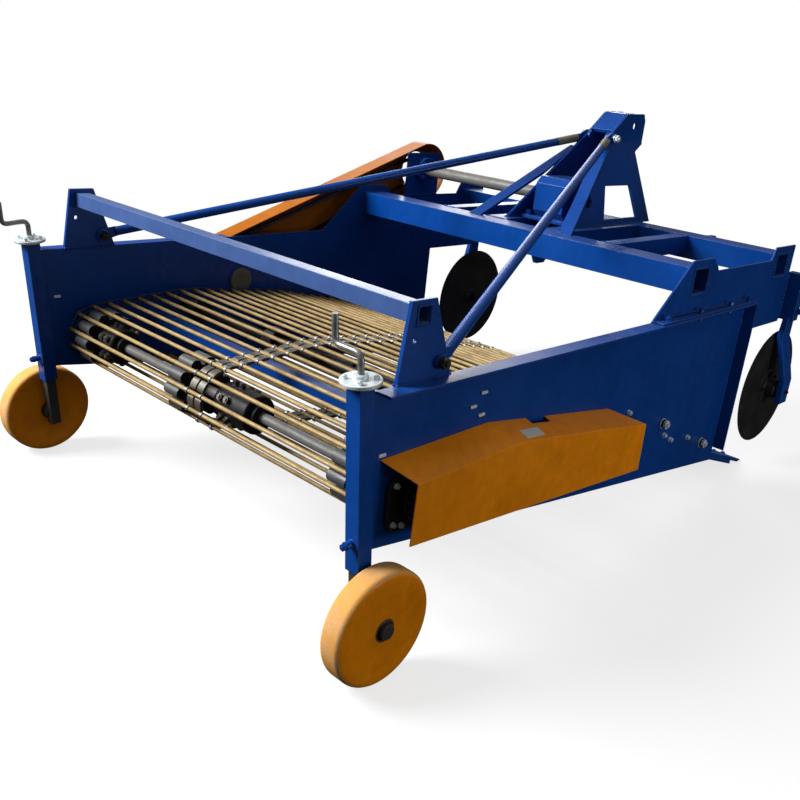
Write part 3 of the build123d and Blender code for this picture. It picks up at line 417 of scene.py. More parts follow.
# Finish: group, colour, second colour, its amount, roughness, metallic, specular level, coat, sheen, bump
FINISHES = {
    "blue_paint": (paint_film, "blue", "dust", 0.06, 0.30, 0.0, 0.18, 0.06, 0.03, 0.05),
    # paler blue of the rear tube as painted reflection
    "blue_painted_sheen": (paint_film, "faded", "dust", 0.10, 0.30, 0.0, 0.30, 0.10, 0.10, 0.05),
    "orange_paint": (paint_film, "orange", "dust", 0.14, 0.36, 0.0, 0.18, 0.03, 0.0, 0.06),
    # darker orange of the left cover as painted shade
    "orange_painted_shade": (paint_film, "shaded", "dust", 0.20, 0.42, 0.0, 0.15, 0.0, 0.0, 0.06),
    "orange_tread": (cast_skin, "tread", "pale", 0.40, 0.62, 0.0, 0.20, 0.0, 0.0, 0.30),
    "orange_greasy": (cast_skin, "grease", "orange", 0.60, 0.40, 0.0, 0.30, 0.0, 0.0, 0.15),
    "grey_paint": (paint_film, "grey", "dust", 0.08, 0.40, 0.0, 0.30, 0.0, 0.05, 0.06),
    "web_steel": (metal_grain, "rods", "rust", 0.55, 0.46, 0.10, 0.30, 0.0, 0.0, 0.08),
    "link_steel": (metal_grain, "link", "rust", 0.45, 0.42, 0.60, 0.50, 0.0, 0.0, 0.10),
    "zinc": (metal_grain, "zinc", "grey", 0.30, 0.34, 0.35, 0.50, 0.0, 0.0, 0.06),
    "bright_steel": (metal_grain, "steel", "rust", 0.40, 0.36, 0.45, 0.50, 0.0, 0.0, 0.08),
    "chain_steel": (metal_grain, "chain", "rust", 0.40, 0.32, 0.80, 0.50, 0.1, 0.0, 0.06),
    "crank_steel": (metal_grain, "crank", "zinc", 0.25, 0.36, 0.60, 0.50, 0.0, 0.0, 0.06),
    "shaft_steel": (metal_grain, "shaft", "rust", 0.35, 0.50, 0.20, 0.35, 0.0, 0.0, 0.08),
    "guide_steel": (metal_grain, "guide", "rust", 0.40, 0.45, 0.30, 0.35, 0.0, 0.0, 0.08),
    "pale_plate": (cast_skin, "pale", "dust", 0.30, 0.35, 0.0, 0.50, 0.0, 0.0, 0.04),
    # lighter grey on the lugs' sides as painted light; their ends take black_rubber as painted shade
    "grey_rubber_painted_lit": (cast_skin, "lug", "dust", 0.15, 0.45, 0.0, 0.45, 0.0, 0.0, 0.20),
    "black_rubber": (cast_skin, "rubber", "dust", 0.08, 0.50, 0.0, 0.20, 0.0, 0.0, 0.25),
    "dark_steel": (cast_skin, "iron", "dust", 0.08, 0.48, 0.0, 0.25, 0.0, 0.0, 0.15),
}


def finish(name):
    """Material of a finish, made once; a name that ends in _worn is its rubbed edge."""
    label = "digger " + name
    if label in bpy.data.materials:
        return bpy.data.materials[label]
    base = name.removesuffix("_worn")
    group, first, second, amount, roughness, metallic, specular, coat, sheen, bump = FINISHES[base]
    made = bpy.data.materials.new(label)
    made.use_nodes = True
    tree = made.node_tree
    skin = add(tree, "ShaderNodeGroup", {0: getattr(colours(), first), 1: getattr(colours(), second),
                                         2: amount, 3: roughness}, node_tree=group())
    tint, gloss, height = (Wire(tree, output) for output in skin.outputs)
    if base != name:
        given = {"Colour": tint, "Bare Colour": colours().steel, "Wear": EDGE_WEAR}
        chips = add(tree, "ShaderNodeGroup", given, node_tree=edge_chips())
        tint, bare = (Wire(tree, output) for output in chips.outputs)
    relief = out_of(tree, "ShaderNodeBump", {"Height": height, "Strength": bump, "Distance": BUMP_DEPTH})
    shader = tree.nodes["Principled BSDF"]
    for socket, value in (("Base Color", tint), ("Roughness", gloss), ("Normal", relief),
                          ("Metallic", metallic), ("Specular IOR Level", specular), ("Coat Weight", coat),
                          ("Coat Roughness", COAT_ROUGHNESS), ("Sheen Weight", sheen),
                          ("Sheen Roughness", SHEEN_ROUGHNESS)):
        plug(value, shader.inputs[socket])
    if base != name:
        plug(bare, shader.inputs["Metallic"])
    return made


# Geometry node trees

ACROSS = (0, math.pi / 2, 0)               # turn that lays a cylinder along X
HOOK_INSET = 0.005                         # from a rod's end to its wire link
CHAIN_SHEET = 0.0016                       # thickness of a chain's side plates


def node_tree(name, numbers, materials=("Material",)):
    """Geometry tree with a geometry input, named numbers and materials, and a geometry output."""
    shape = {"Geometry": "Geometry"}
    kinds = {**shape, **dict.fromkeys(numbers, "Float"), **dict.fromkeys(materials, "Material")}
    return new_tree(name, "GeometryNodeTree", kinds, shape)


def join(*shapes):
    tree = shapes[0].tree
    made = tree.nodes.new("GeometryNodeJoinGeometry")
    for shape in reversed(shapes):
        plug(shape, made.inputs["Geometry"])
    return Wire(tree, made.outputs["Geometry"])


def combined(tree, x=0.0, y=0.0, z=0.0):
    return out_of(tree, "ShaderNodeCombineXYZ", {"X": x, "Y": y, "Z": z})


def moved(shape, x=0.0, z=0.0, turn=(0, 0, 0)):
    offset = combined(shape.tree, x, 0.0, z)
    return out_of(shape.tree, "GeometryNodeTransform",
                  {"Geometry": shape, "Translation": offset, "Rotation": turn})


def drum(tree, sides, radius, depth, offset=0.0, turn=(0, 0, 0)):
    """Closed cylinder along Z, or turned from there."""
    made = out_of(tree, "GeometryNodeMeshCylinder", {"Vertices": sides, "Radius": radius, "Depth": depth})
    return moved(made, z=offset, turn=turn)


def rounded(width, height, radius, steps):
    """Outline of a rectangle with rounded corners."""
    tree = width.tree
    box = out_of(tree, "GeometryNodeCurvePrimitiveQuadrilateral", {"Width": width, "Height": height})
    return out_of(tree, "GeometryNodeFilletCurve", {"Curve": box, "Radius": radius, "Count": steps},
                  mode="POLY")


def corners_of(mesh):
    """Points on a mesh's vertices."""
    return out_of(mesh.tree, "GeometryNodeMeshToPoints", {"Mesh": mesh}, mode="VERTICES")


def placed(points, shape, rotation=(0, 0, 0), scale=(1, 1, 1)):
    return out_of(points.tree, "GeometryNodeInstanceOnPoints",
                  {"Points": points, "Instance": shape, "Rotation": rotation, "Scale": scale})


def close(tree, *shapes):
    """End of a tree: plain meshes, each with its material."""
    painted = []
    for shape, material in shapes:
        real = out_of(tree, "GeometryNodeRealizeInstances", {"Geometry": shape})
        painted.append(out_of(tree, "GeometryNodeSetMaterial", {"Geometry": real, "Material": material}))
    add(tree, "NodeGroupOutput", {"Geometry": join(*painted)})
    return tree


def grow(name, mesh, tree, values, angle=CREASE):
    """Plain mesh that a tree makes from a mesh of points or lines."""
    piece = new_object(name, mesh)
    modifier = piece.modifiers.new("nodes", "NODES")
    modifier.node_group = tree
    for item in tree.interface.items_tree:
        if item.in_out == "INPUT" and item.name in values:
            modifier[item.identifier] = values[item.name]
    bake(piece)
    shade(piece.data, angle)
    return piece


def edge_directions(lines):
    """Points in the middle of a mesh's edges, and the rotation that lays local X along each edge."""
    tree = lines.tree
    start, end = (out_of(tree, "GeometryNodeInputMeshEdgeVertices", output=place)
                  for place in ("Position 1", "Position 2"))
    run = out_of(tree, "ShaderNodeVectorMath", {0: end, 1: start}, operation="SUBTRACT")
    kept = tree.nodes.new("GeometryNodeCaptureAttribute")
    kept.domain = "EDGE"
    kept.capture_items.new("VECTOR", "run")
    plug(lines, kept.inputs["Geometry"])
    plug(run, kept.inputs[1])
    edges, run = Wire(tree, kept.outputs["Geometry"]), Wire(tree, kept.outputs[1])
    middles = out_of(tree, "GeometryNodeMeshToPoints", {"Mesh": edges}, mode="EDGES")
    turn = out_of(tree, "FunctionNodeAxesToRotation", {"Primary Axis": run, "Secondary Axis": (1, 0, 0)},
                  primary_axis="X", secondary_axis="Z")
    return middles, turn


def odd_one(tree):
    """One at every other point, else nought."""
    return out_of(tree, "GeometryNodeInputIndex") % 2.0


def web_tree():
    """Rods on a loop's points, a middle row of link plates with knobs, and wire links at the rods' ends."""
    tree, given = node_tree(
        "rod web", ("Rod Radius", "Rod Half", "Pitch", "Link Wire", "Link Width", "Row Place"),
        ("Rod Material", "Link Material", "Knob Material", "Wire Material"))
    lines, rod_r, rod_half, pitch, wire_r, width, middle, *materials = given.values()
    stations = corners_of(lines)
    middles, turn = edge_directions(lines)
    rods = placed(stations, drum(tree, 14, rod_r, rod_half * 2.0, turn=ACROSS))

    shape = combined(tree, pitch - rod_r * 3.6, rod_r * 1.7, width)
    plates = placed(middles, drum(tree, 14, 0.5, 1.0), turn, shape)
    knobs = placed(stations, drum(tree, 10, rod_r * 1.5, width * 0.3, turn=ACROSS))
    half = width * 0.64
    plates = join(*(moved(plates, middle + half * side) for side, _ in SIDES))
    knobs = join(*(moved(knobs, middle + half * (1.9 * side)) for side, _ in SIDES))

    eye = rod_r + wire_r
    wire = out_of(tree, "GeometryNodeCurvePrimitiveCircle", {"Resolution": 6, "Radius": wire_r})
    outline = rounded(pitch + eye * 2.0, eye * 2.0, eye * 0.98, 3)
    hook = out_of(tree, "GeometryNodeCurveToMesh", {"Curve": outline, "Profile Curve": wire})
    shift = combined(tree, (odd_one(tree) - 0.5) * (wire_r * 2.2))
    to_and_fro = out_of(tree, "GeometryNodeSetPosition", {"Geometry": middles, "Offset": shift})
    row = placed(to_and_fro, hook, turn)
    end = rod_half - HOOK_INSET
    hooks = join(moved(row, end), moved(row, end * -1.0))
    return close(tree, *zip((rods, plates, knobs, hooks), materials))


def chain_tree():
    """Roller chain: rollers on the points of a loop and a pair of side plates on each edge."""
    tree, given = node_tree("roller chain", ("Pitch", "Roller Radius", "Width"))
    lines, pitch, roller_r, width, material = given.values()
    rollers = placed(corners_of(lines), drum(tree, 10, roller_r, width, turn=ACROSS))
    height = roller_r * 2.3
    outline = rounded(pitch + height, height, height * 0.49, 2)
    face = out_of(tree, "GeometryNodeFillCurve", {"Curve": outline})
    back = out_of(tree, "GeometryNodeFlipFaces", {"Mesh": face})
    plate = join(out_of(tree, "GeometryNodeExtrudeMesh", {"Mesh": face, "Offset Scale": CHAIN_SHEET}), back)
    pair = join(moved(plate, z=width * 0.5), moved(plate, z=width * -0.5 - CHAIN_SHEET))
    middles, turn = edge_directions(lines)
    plates = placed(middles, pair, turn, combined(tree, 1.0, 1.0, odd_one(tree) * 0.3 + 0.86))
    return close(tree, (join(rollers, plates), material))


def bolt_tree():
    """Hexagon heads with washers and thread ends on points that carry a direction and a size."""
    tree, given = node_tree("hexagon bolts", ())
    bolt = join(*[drum(tree, *part) for part in BOLT])
    kept = "GeometryNodeInputNamedAttribute"
    out = out_of(tree, kept, {"Name": "out"}, "Attribute", data_type="FLOAT_VECTOR")
    size = out_of(tree, kept, {"Name": "across"}, "Attribute", data_type="FLOAT")
    upright = out_of(tree, "FunctionNodeAlignRotationToVector", {"Vector": out}, axis="Z")
    spin = out_of(tree, "FunctionNodeRandomValue", {3: 1.0, "Seed": 7}, 1, data_type="FLOAT")
    twist = out_of(tree, "FunctionNodeEulerToRotation", {"Euler": combined(tree, z=spin)})
    rotation = out_of(tree, "FunctionNodeRotateRotation", {"Rotation": upright, "Rotate By": twist},
                      rotation_space="LOCAL")
    bolts = placed(corners_of(given["Geometry"]), bolt, rotation, combined(tree, size, size, size))
    return close(tree, (bolts, given["Material"]))


def weld_tree():
    """Rippled beads along lines."""
    tree, given = node_tree("weld beads", ("Radius", "Pitch"))
    line = out_of(tree, "GeometryNodeMeshToCurve", {"Mesh": given["Geometry"]})
    ripples = out_of(tree, "GeometryNodeCurveToPoints", {"Curve": line, "Length": given["Pitch"]},
                     mode="LENGTH")
    ball = out_of(tree, "GeometryNodeMeshIcoSphere", {"Radius": given["Radius"], "Subdivisions": 1})
    spin = out_of(tree, "FunctionNodeRandomValue", {0: (0, 0, 0), 1: (3, 3, 3), "Seed": 3},
                  data_type="FLOAT_VECTOR")
    grown = out_of(tree, "FunctionNodeRandomValue", {2: 0.85, 3: 1.12, "Seed": 5}, 1, data_type="FLOAT")
    beads = placed(ripples, ball, spin, combined(tree, grown, grown, grown))
    return close(tree, (beads, given["Material"]))


# Loops of points

def loop_stations(circles, pitch):
    """Points along a belt round circles (station, height, radius), nearest to a pitch in millimetres."""
    following = circles[1:] + circles[:1]
    normals = []
    for (y0, z0, r0), (y1, z1, r1) in zip(circles, following):
        reach = math.hypot(y1 - y0, z1 - z0)
        normals.append(math.atan2(z1 - z0, y1 - y0) - math.acos((r0 - r1) / reach))
    runs = []
    for i, (y, z, r) in enumerate(circles):
        turn = (normals[i] - normals[i - 1]) % (2 * math.pi)
        runs.append((r * turn, "arc", y, z, r, normals[i - 1]))
        y1, z1, r1 = following[i]
        c, s = math.cos(normals[i]), math.sin(normals[i])
        start, end = (y + r * c, z + r * s), (y1 + r1 * c, z1 + r1 * s)
        runs.append((math.dist(start, end), "run", *start, *end))
    total = sum(r[0] for r in runs)
    count = round(total / pitch)
    points = []
    for k in range(count):
        along = k * total / count
        for reach, kind, *data in runs:
            if along < reach:
                break
            along -= reach
        if kind == "arc":
            y, z, r, first = data
            points.append((y + r * math.cos(first + along / r), z + r * math.sin(first + along / r)))
        else:
            y0, z0, y1, z1 = data
            part = along / reach
            points.append((y0 + part * (y1 - y0), z0 + part * (z1 - z0)))
    return points, normals[-1]


def web_stations():
    """Places of the web's rods, and the angle at which the loop starts on the drive shaft."""
    pitch = sizes().rod_pitch / MM
    return loop_stations([(*STAR, STAR_TEETH * pitch / (2 * math.pi)), IDLER, *ROLLERS], pitch)


def loop_mesh(name, x, points):
    count = len(points)
    return mesh_of(name, [at(x, y, z) for y, z in points], [(i, (i + 1) % count) for i in range(count)])


# Turned, drawn and softened shapes

def turned(name, profile, x, y, z, side, steps, materials, pick=None):
    """Closed profile of (offset outwards, radius) in millimetres turned about a cross axis at (x, y, z)."""
    count = len(profile)
    points, faces = [], []
    for k in range(steps):
        a = 2 * math.pi * k / steps
        points += [at(x + side * d, y + r * math.cos(a), z + r * math.sin(a)) for d, r in profile]
        m = (k + 1) % steps
        for i in range(count):
            j = (i + 1) % count
            faces.append((k * count + i, k * count + j, m * count + j, m * count + i))
    piece = closed_object(name, points, faces, materials)
    if pick:
        for face in piece.data.polygons:
            face.material_index = pick(face.center)
    shade(piece.data)
    return piece


def prism(name, outline, x0, x1, material, edge):
    """Outline of (station, height) points drawn from x0 to x1, with rounded edges."""
    count = len(outline)
    points = [at(x, y, z) for x in (x0, x1) for y, z in outline]
    faces = [tuple(range(count)), tuple(range(2 * count - 1, count - 1, -1))]
    faces += [(i, (i + 1) % count, count + (i + 1) % count, count + i) for i in range(count)]
    piece = closed_object(name, points, faces, [material])
    round_edges(piece, edge, 0)
    return piece


def round_edges(piece, width, worn_index):
    """Round the sharp edges of a piece; the new faces take the finish with an index."""
    modifier = piece.modifiers.new("rounded edges", "BEVEL")
    modifier.width = width
    modifier.segments = 2
    modifier.limit_method = "ANGLE"
    modifier.angle_limit = ROUNDED_FROM
    modifier.use_clamp_overlap = False
    modifier.material = worn_index
    piece.modifiers.new("flat faces", "WEIGHTED_NORMAL").keep_sharp = True
    piece.data.polygons.foreach_set("use_smooth", [True] * len(piece.data.polygons))
    bake(piece)


def notched(piece, low, high):
    """Cut a box between two corners out of a piece."""
    corners = [at(x, y, z) for x in (low[0], high[0]) for y in (low[1], high[1]) for z in (low[2], high[2])]
    faces = [(0, 1, 3, 2), (4, 6, 7, 5), (0, 4, 5, 1), (2, 3, 7, 6), (0, 2, 6, 4), (1, 5, 7, 3)]
    cutter = closed_object("cutter", corners, faces)
    modifier = piece.modifiers.new("notch", "BOOLEAN")
    modifier.operation = "DIFFERENCE"
    modifier.solver = "EXACT"
    modifier.object = cutter
    bake(piece)
    bpy.data.meshes.remove(cutter.data)


def softened(node, material=None, notch=None):
    """Copy of a solid with rounded, worn edges that stands for it."""
    slot = slot_of(node)
    material = material or slot
    mesh = frame["nodes"][node].data.copy()
    mesh.materials.clear()
    shell = bmesh.new()
    shell.from_mesh(mesh)
    bmesh.ops.remove_doubles(shell, verts=shell.verts, dist=SAME_POINT)
    bmesh.ops.dissolve_limit(shell, angle_limit=SAME_PLANE, verts=shell.verts, edges=shell.edges)
    shell.to_mesh(mesh)
    shell.free()
    if "custom_normal" in mesh.attributes:
        mesh.attributes.remove(mesh.attributes["custom_normal"])
    piece = new_object(node + "_dressed", mesh)
    mesh.materials.append(finish(material))
    mesh.materials.append(finish(material + "_worn"))
    if notch:
        notched(piece, *notch)
    round_edges(piece, sizes().edge, 1)
    settle(piece, body_with(node), slot, node)


def drawn_bar(name, corners, radius, bend, material):
    """Round bar through corners, bent with a radius at each."""
    bend_steps = 8
    points = [corners[0]]
    for before, here, after in zip(corners, corners[1:], corners[2:]):
        a = (before - here).normalized()
        b = (after - here).normalized()
        for k in range(bend_steps + 1):
            t = k / bend_steps
            points.append(here + a * bend * (1 - t) ** 2 + b * bend * t ** 2)
    points.append(corners[-1])
    curve = bpy.data.curves.new(name, "CURVE")
    curve.dimensions = "3D"
    line = curve.splines.new("POLY")
    line.points.add(len(points) - 1)
    for place, point in zip(line.points, points):
        place.co = (*point, 1)
    curve.bevel_depth = radius
    curve.bevel_resolution = 5
    curve.use_fill_caps = True
    piece = new_object(name + "_line", curve)
    mesh = shown_mesh(piece)
    bpy.data.objects.remove(piece)
    bar = new_object(name, mesh)
    mesh.materials.clear()
    mesh.materials.append(finish(material))
    shade(mesh, angle=50)
    return bar


# Operators

class Dress(bpy.types.Operator):
    """Base of the operators that make a group of pieces."""

    bl_options = {"REGISTER", "UNDO"}

    def execute(self, context):
        self.make()
        return {"FINISHED"}


class DIGGER_OT_plates(Dress):
    """Painted plates, tubes, castings and shafts, with rounded and rubbed edges"""

    bl_idname = "digger.plates"
    bl_label = "Plates and tubes"

    MADE_ANEW = ("rod_web", "drive_shaft", "chain_right", "chain_left", "crank_right", "crank_left",
                 "wheel_right", "wheel_left", "coulter_disc_right", "coulter_disc_left")
    # the rear tube's paler blue is painted reflection; the left cover's darker orange is painted shade
    OWN_FINISH = {"guide_discs": "guide_steel", "gearbox": "blue_paint", "chain_cover_left": "orange_painted_shade",
                  "rear_cross_tube": "blue_painted_sheen", "cross_shaft": "shaft_steel"}
    # corners of the boxes cut out of the solids' copies
    NOTCHES = {"chain_cover_right": ((698, 575, 440), (721, 655, 500))}

    def make(self):
        for node in sorted(frame["nodes"]):
            if node not in self.MADE_ANEW:
                softened(node, self.OWN_FINISH.get(node), self.NOTCHES.get(node))


class DIGGER_OT_web(Dress):
    """Rod web with its row of link plates and the wire links at the rods' ends"""

    bl_idname = "digger.web"
    bl_label = "Rod web"

    def make(self):
        points, _ = web_stations()
        web = grow("rod_web_dressed", loop_mesh("web", 0, points), web_tree(), {
            "Rod Radius": sizes().rod_radius, "Rod Half": sizes().rod_half, "Pitch": sizes().rod_pitch,
            "Link Wire": sizes().link_wire, "Link Width": sizes().link_width, "Row Place": LINK_ROW_X * MM,
            "Rod Material": finish("web_steel"), "Link Material": finish("link_steel"),
            "Knob Material": finish("crank_steel"), "Wire Material": finish("chain_steel")}, angle=40)
        settle(web, "frame", "web_steel", "rod_web")


class DIGGER_OT_drive(Dress):
    """Lugged rubber wheels with painted shade on their lugs' ends, bolted hubs and bearing flanges of the
    web's drive shaft; the dark flanges are partly real and partly painted shade on the side plates
    """

    bl_idname = "digger.drive"
    bl_label = "Drive shaft"

    # start and end of the lugged wheels, and of the hubs that clamp them
    WHEELS = ((-640, -574), (-150, -86), (512, 574))
    HUBS = ((-574, -480), (26, 172), (574, 640))
    LUG_R, LUG_MIDDLE, LUG_EDGE = 17, 70.5, 0.0016
    LUG_ANGLES = range(-110, 111, 20)
    HUB_R, HUB_CORE, BOSS_R, BOSS = 52, 1, 34, 14
    CHAMFERS = (2, 3)                      # of a hub at its start and at its shoulder
    SHAFT_R, SHAFT_CORE, SPROCKET_R, SPROCKET = 14, 0.5, 46, 10
    STEPS = 40
    # painted shade: faces that look across by more than this get the black finish, the other faces the lit
    # grey
    SIDEWAYS = 0.7                         # a face that looks across by more than this is a wheel's side
    # bearing flanges on the side plates, large and dark so that they also stand as painted shade round the
    # bearings: half length, half height, cut corner and thickness
    FLANGE, FLANGE_EDGE = (90, 66, 22, 14), 0.003

    def flange(self):
        """Outline of a bearing flange."""
        a, b, c, _ = self.FLANGE
        corners = ((-a, -b + c), (-a + c, -b), (a - c, -b), (a, -b + c),
                   (a, b - c), (a - c, b), (-a + c, b), (-a, b - c))
        return [(STAR[0] + y, STAR[1] + z) for y, z in corners]

    def lugs(self, first):
        """Outline of a drive wheel: a round lug in each space between the rods."""
        points = []
        for k in range(STAR_TEETH):
            turn = first + 2 * math.pi * k / STAR_TEETH
            for a in map(math.radians, self.LUG_ANGLES):
                r, t = self.LUG_MIDDLE + self.LUG_R * math.cos(a), self.LUG_R * math.sin(a)
                points.append((STAR[0] + r * math.cos(turn) - t * math.sin(turn),
                               STAR[1] + r * math.sin(turn) + t * math.cos(turn)))
        return points

    def hub(self, width):
        """Profile of a hub with its boss."""
        r, core, shoulder = self.HUB_R, self.HUB_CORE, width - self.BOSS
        a, b = self.CHAMFERS
        return [(0, core), (0, r - a), (a, r), (shoulder - b, r), (shoulder, r - b),
                (shoulder, self.BOSS_R), (width, self.BOSS_R), (width, core)]

    def shaft(self, width):
        """Profile of the shaft with a chain wheel at each end."""
        edge, r = self.SPROCKET, self.SPROCKET_R
        half = [(0, self.SHAFT_CORE), (0, r), (edge, r), (edge, self.SHAFT_R)]
        return half + [(width - d, r) for d, r in reversed(half)]

    def make(self):
        _, start = web_stations()
        for number, (x0, x1) in enumerate(self.WHEELS, start=1):
            outline = self.lugs(start + math.pi / STAR_TEETH)
            wheel = prism("drive_wheel_%d" % number, outline, x0, x1, "grey_rubber_painted_lit", self.LUG_EDGE)
            wheel.data.materials.append(finish("black_rubber"))
            for face in wheel.data.polygons:
                # painted shade on the lugs' ends, painted light on their sides
                face.material_index = int(abs(face.normal.x) > self.SIDEWAYS)
            settle(wheel, "frame", "black_rubber")
        for number, (x0, x1) in enumerate(self.HUBS, start=1):
            hub = turned("drive_hub_%d" % number, self.hub(x1 - x0), x0, *STAR, 1, self.STEPS,
                         ["black_rubber"])
            settle(hub, "frame", "black_rubber")
        end, inside = CHAIN_X + self.SPROCKET / 2, INNER * MM
        shaft = turned("drive_shaft_dressed", self.shaft(2 * end), -end, *STAR, 1, self.STEPS,
                       ["shaft_steel", "dark_steel"], lambda centre: int(abs(centre.x) > inside))
        settle(shaft, "frame", "dark_steel", "drive_shaft")
        for side, name in SIDES:
            flange = prism("bearing_flange_" + name, self.flange(), side * OUTER,
                           side * (OUTER + self.FLANGE[3]), "dark_steel", self.FLANGE_EDGE)
            settle(flange, "frame", "dark_steel")


class DIGGER_OT_fittings(Dress):
    """Blank plate on the right chain cover, clamp bars on the side plates and the stays' bare ends"""

    bl_idname = "digger.fittings"
    bl_label = "Small fittings"

    STAY = ((682, 264.7, 694.8), (59, 1772.3, 1075.2))
    STAY_R = 14.6
    BARE = (0.945, 0.995)                  # bare part of a stay, as shares of its length
    # stations and heights of the clamp bars, their outline and thickness
    BARS = ((74, 506), (391, 584), (357, 556), (391, 530))
    BAR = ((-11, -2), (-9, -4), (9, -4), (11, -2), (11, 2), (9, 4), (-9, 4), (-11, 2))
    BAR_SHEET, BAR_EDGE = 5, 0.0012
    # place of the blank plate, the way it looks, and its size
    PLACE, OUT = (750, 536, 469.5), (0.345, 0.116, 0.931)
    LENGTH, WIDTH, SHEET, EDGE = 78, 28, 1.2, 0.0004

    def blank_plate(self):
        out = Vector(self.OUT).normalized()
        along = Vector((0, 1, 0)) - out * out.y
        along.normalize()
        wide = along.cross(out)
        corners = []
        for rise in (0, self.SHEET):
            for a, b in ((-1, -1), (1, -1), (1, 1), (-1, 1)):
                step = along * a * self.LENGTH / 2 + wide * b * self.WIDTH / 2 + out * rise
                corners.append(at(*self.PLACE) + step * MM)
        faces = [(0, 1, 2, 3), (7, 6, 5, 4)]
        faces += [(i, i + 4, (i + 1) % 4 + 4, (i + 1) % 4) for i in range(4)]
        piece = closed_object("blank_plate", corners, faces, ["pale_plate"])
        round_edges(piece, self.EDGE, 0)
        settle(piece, "frame", "zinc")

    def make(self):
        self.blank_plate()
        places = [(side * OUTER, side, *bar) for side, _ in SIDES for bar in self.BARS]
        places += [(side * INNER, -side, *self.BARS[0]) for side, _ in SIDES]
        for number, (face, outward, y, z) in enumerate(places, start=1):
            outline = [(y + a, z + b) for a, b in self.BAR]
            bar = prism("clamp_bar_%d" % number, outline, face, face + outward * self.BAR_SHEET, "zinc",
                        self.BAR_EDGE)
            settle(bar, "frame", "zinc")
        for side, name in SIDES:
            foot, top = (at(side * x, y, z) for x, y, z in self.STAY)
            ends = [foot.lerp(top, share) for share in self.BARE]
            settle(drawn_bar("stay_end_" + name, ends, self.STAY_R * MM, 0, "guide_steel"), "frame", "zinc")


class DIGGER_OT_chains(Dress):
    """Roller chains inside the two covers"""

    bl_idname = "digger.chains"
    bl_label = "Drive chains"

    # side, node and the circles that a chain runs round
    CHAINS = ((1, "chain_right", [(*STAR, 52), (*SHAKER, 40)]),
              (-1, "chain_left", [(*STAR, 52), (*CROSS_SHAFT, 46)]))

    def make(self):
        tree = chain_tree()
        for side, name, circles in self.CHAINS:
            points, _ = loop_stations(circles, sizes().chain_pitch / MM)
            chain = grow(name + "_dressed", loop_mesh(name, side * CHAIN_X, points), tree, {
                "Pitch": sizes().chain_pitch, "Roller Radius": sizes().chain_roller,
                "Width": sizes().chain_width, "Material": finish("chain_steel")})
            settle(chain, "frame", "chain_steel", name)


class DIGGER_OT_wheels(Dress):
    """Depth wheels with rounded, scuffed treads and dark hubs"""

    bl_idname = "digger.wheels"
    bl_label = "Depth wheels"

    TREAD_FROM, STAIN_TO = 130, 28         # radius where the scuffed tread starts, and of the axle's stain
    ROUND, ROUND_STEPS = 13, 6
    DISH, DISH_R, FLAT_R = 1.5, 104, 110   # depth and radius of the dished sides, rim's inner radius
    BORE, HUB_R, HUB_CHAMFER = 14.4, 24, (1, 2)
    HUB_STEPS = 48

    def make(self):
        r, w = WHEEL_R, WHEEL_WIDTH
        angles = [math.pi / 2 * k / self.ROUND_STEPS for k in range(self.ROUND_STEPS, -1, -1)]
        tyre_half = [(self.DISH, self.HUB_R), (self.DISH, self.STAIN_TO), (self.DISH, self.DISH_R),
                     (0, self.FLAT_R)]
        tyre_half += [(self.ROUND - self.ROUND * math.sin(a), r - self.ROUND + self.ROUND * math.cos(a))
                      for a in angles]
        width, height = self.HUB_CHAMFER
        hub_half = [(0, self.BORE), (0, self.HUB_R - height), (width, self.HUB_R)]
        profile, hub = (half + [(w - d, q) for d, q in reversed(half)] for half in (tyre_half, hub_half))
        y = (POST_TOP - r) * math.tan(POST_LEAN)
        axle = at(0, y, r)

        def pick(centre):
            away = (centre.yz - axle.yz).length / MM
            return 1 if away > self.TREAD_FROM else 2 if away < self.STAIN_TO else 0

        for side, name in SIDES:
            node = "wheel_" + name
            place = (side * WHEEL_IN, y, r, side)
            tyre = turned(node + "_dressed", profile, *place, sizes().turning_steps,
                          ["orange_paint", "orange_tread", "orange_greasy"], pick)
            settle(tyre, node, "orange_paint", node)
            boss = turned(node + "_hub", hub, *place, self.HUB_STEPS, ["dark_steel"])
            settle(boss, node, "dark_steel")


class DIGGER_OT_coulters(Dress):
    """Coulter discs with ground edges and flanged hubs"""

    bl_idname = "digger.coulters"
    bl_label = "Coulter discs"

    # profiles: offset outwards and radius
    BLADE = ((-3, 30), (-3, 176), (-0.6, DISC_R), (0.6, DISC_R), (3, 176), (3, 30))
    HUB = ((-12, 12.4), (-12, 30), (-10, 33), (-3, 36), (3, 62), (7, 60), (9, 40), (12, 36), (40, 34),
           (43, 30), (43, 12.4))
    BLADE_STEPS, HUB_STEPS = 128, 48

    def make(self):
        for side, name in SIDES:
            node = "coulter_disc_" + name
            place = (side * DISC_X, *DISC_AXLE, side)
            disc = turned(node + "_dressed", self.BLADE, *place, self.BLADE_STEPS, ["dark_steel"])
            settle(disc, node, "dark_steel", node)
            boss = turned(node + "_hub", self.HUB, *place, self.HUB_STEPS, ["dark_steel"])
            settle(boss, node, "dark_steel")


class DIGGER_OT_cranks(Dress):
    """Bent cranks on the jacks"""

    bl_idname = "digger.cranks"
    bl_label = "Jack cranks"

    BASE, RISE, ARM, GRIP, BEND = 18, 42, 74, 62, 18

    def make(self):
        shoulder = self.BASE + self.RISE
        for side, name, x, y in ((1, "crank_right", -self.ARM, 0), (-1, "crank_left", 0, -self.ARM)):
            path = ((0, 0, self.BASE), (0, 0, shoulder), (x, y, shoulder), (x, y, shoulder + self.GRIP))
            corners = [on_post(side, *p) for p in path]
            crank = drawn_bar(name + "_dressed", corners, sizes().crank_radius, self.BEND * MM,
                              "crank_steel")
            settle(crank, "frame", "zinc", name)


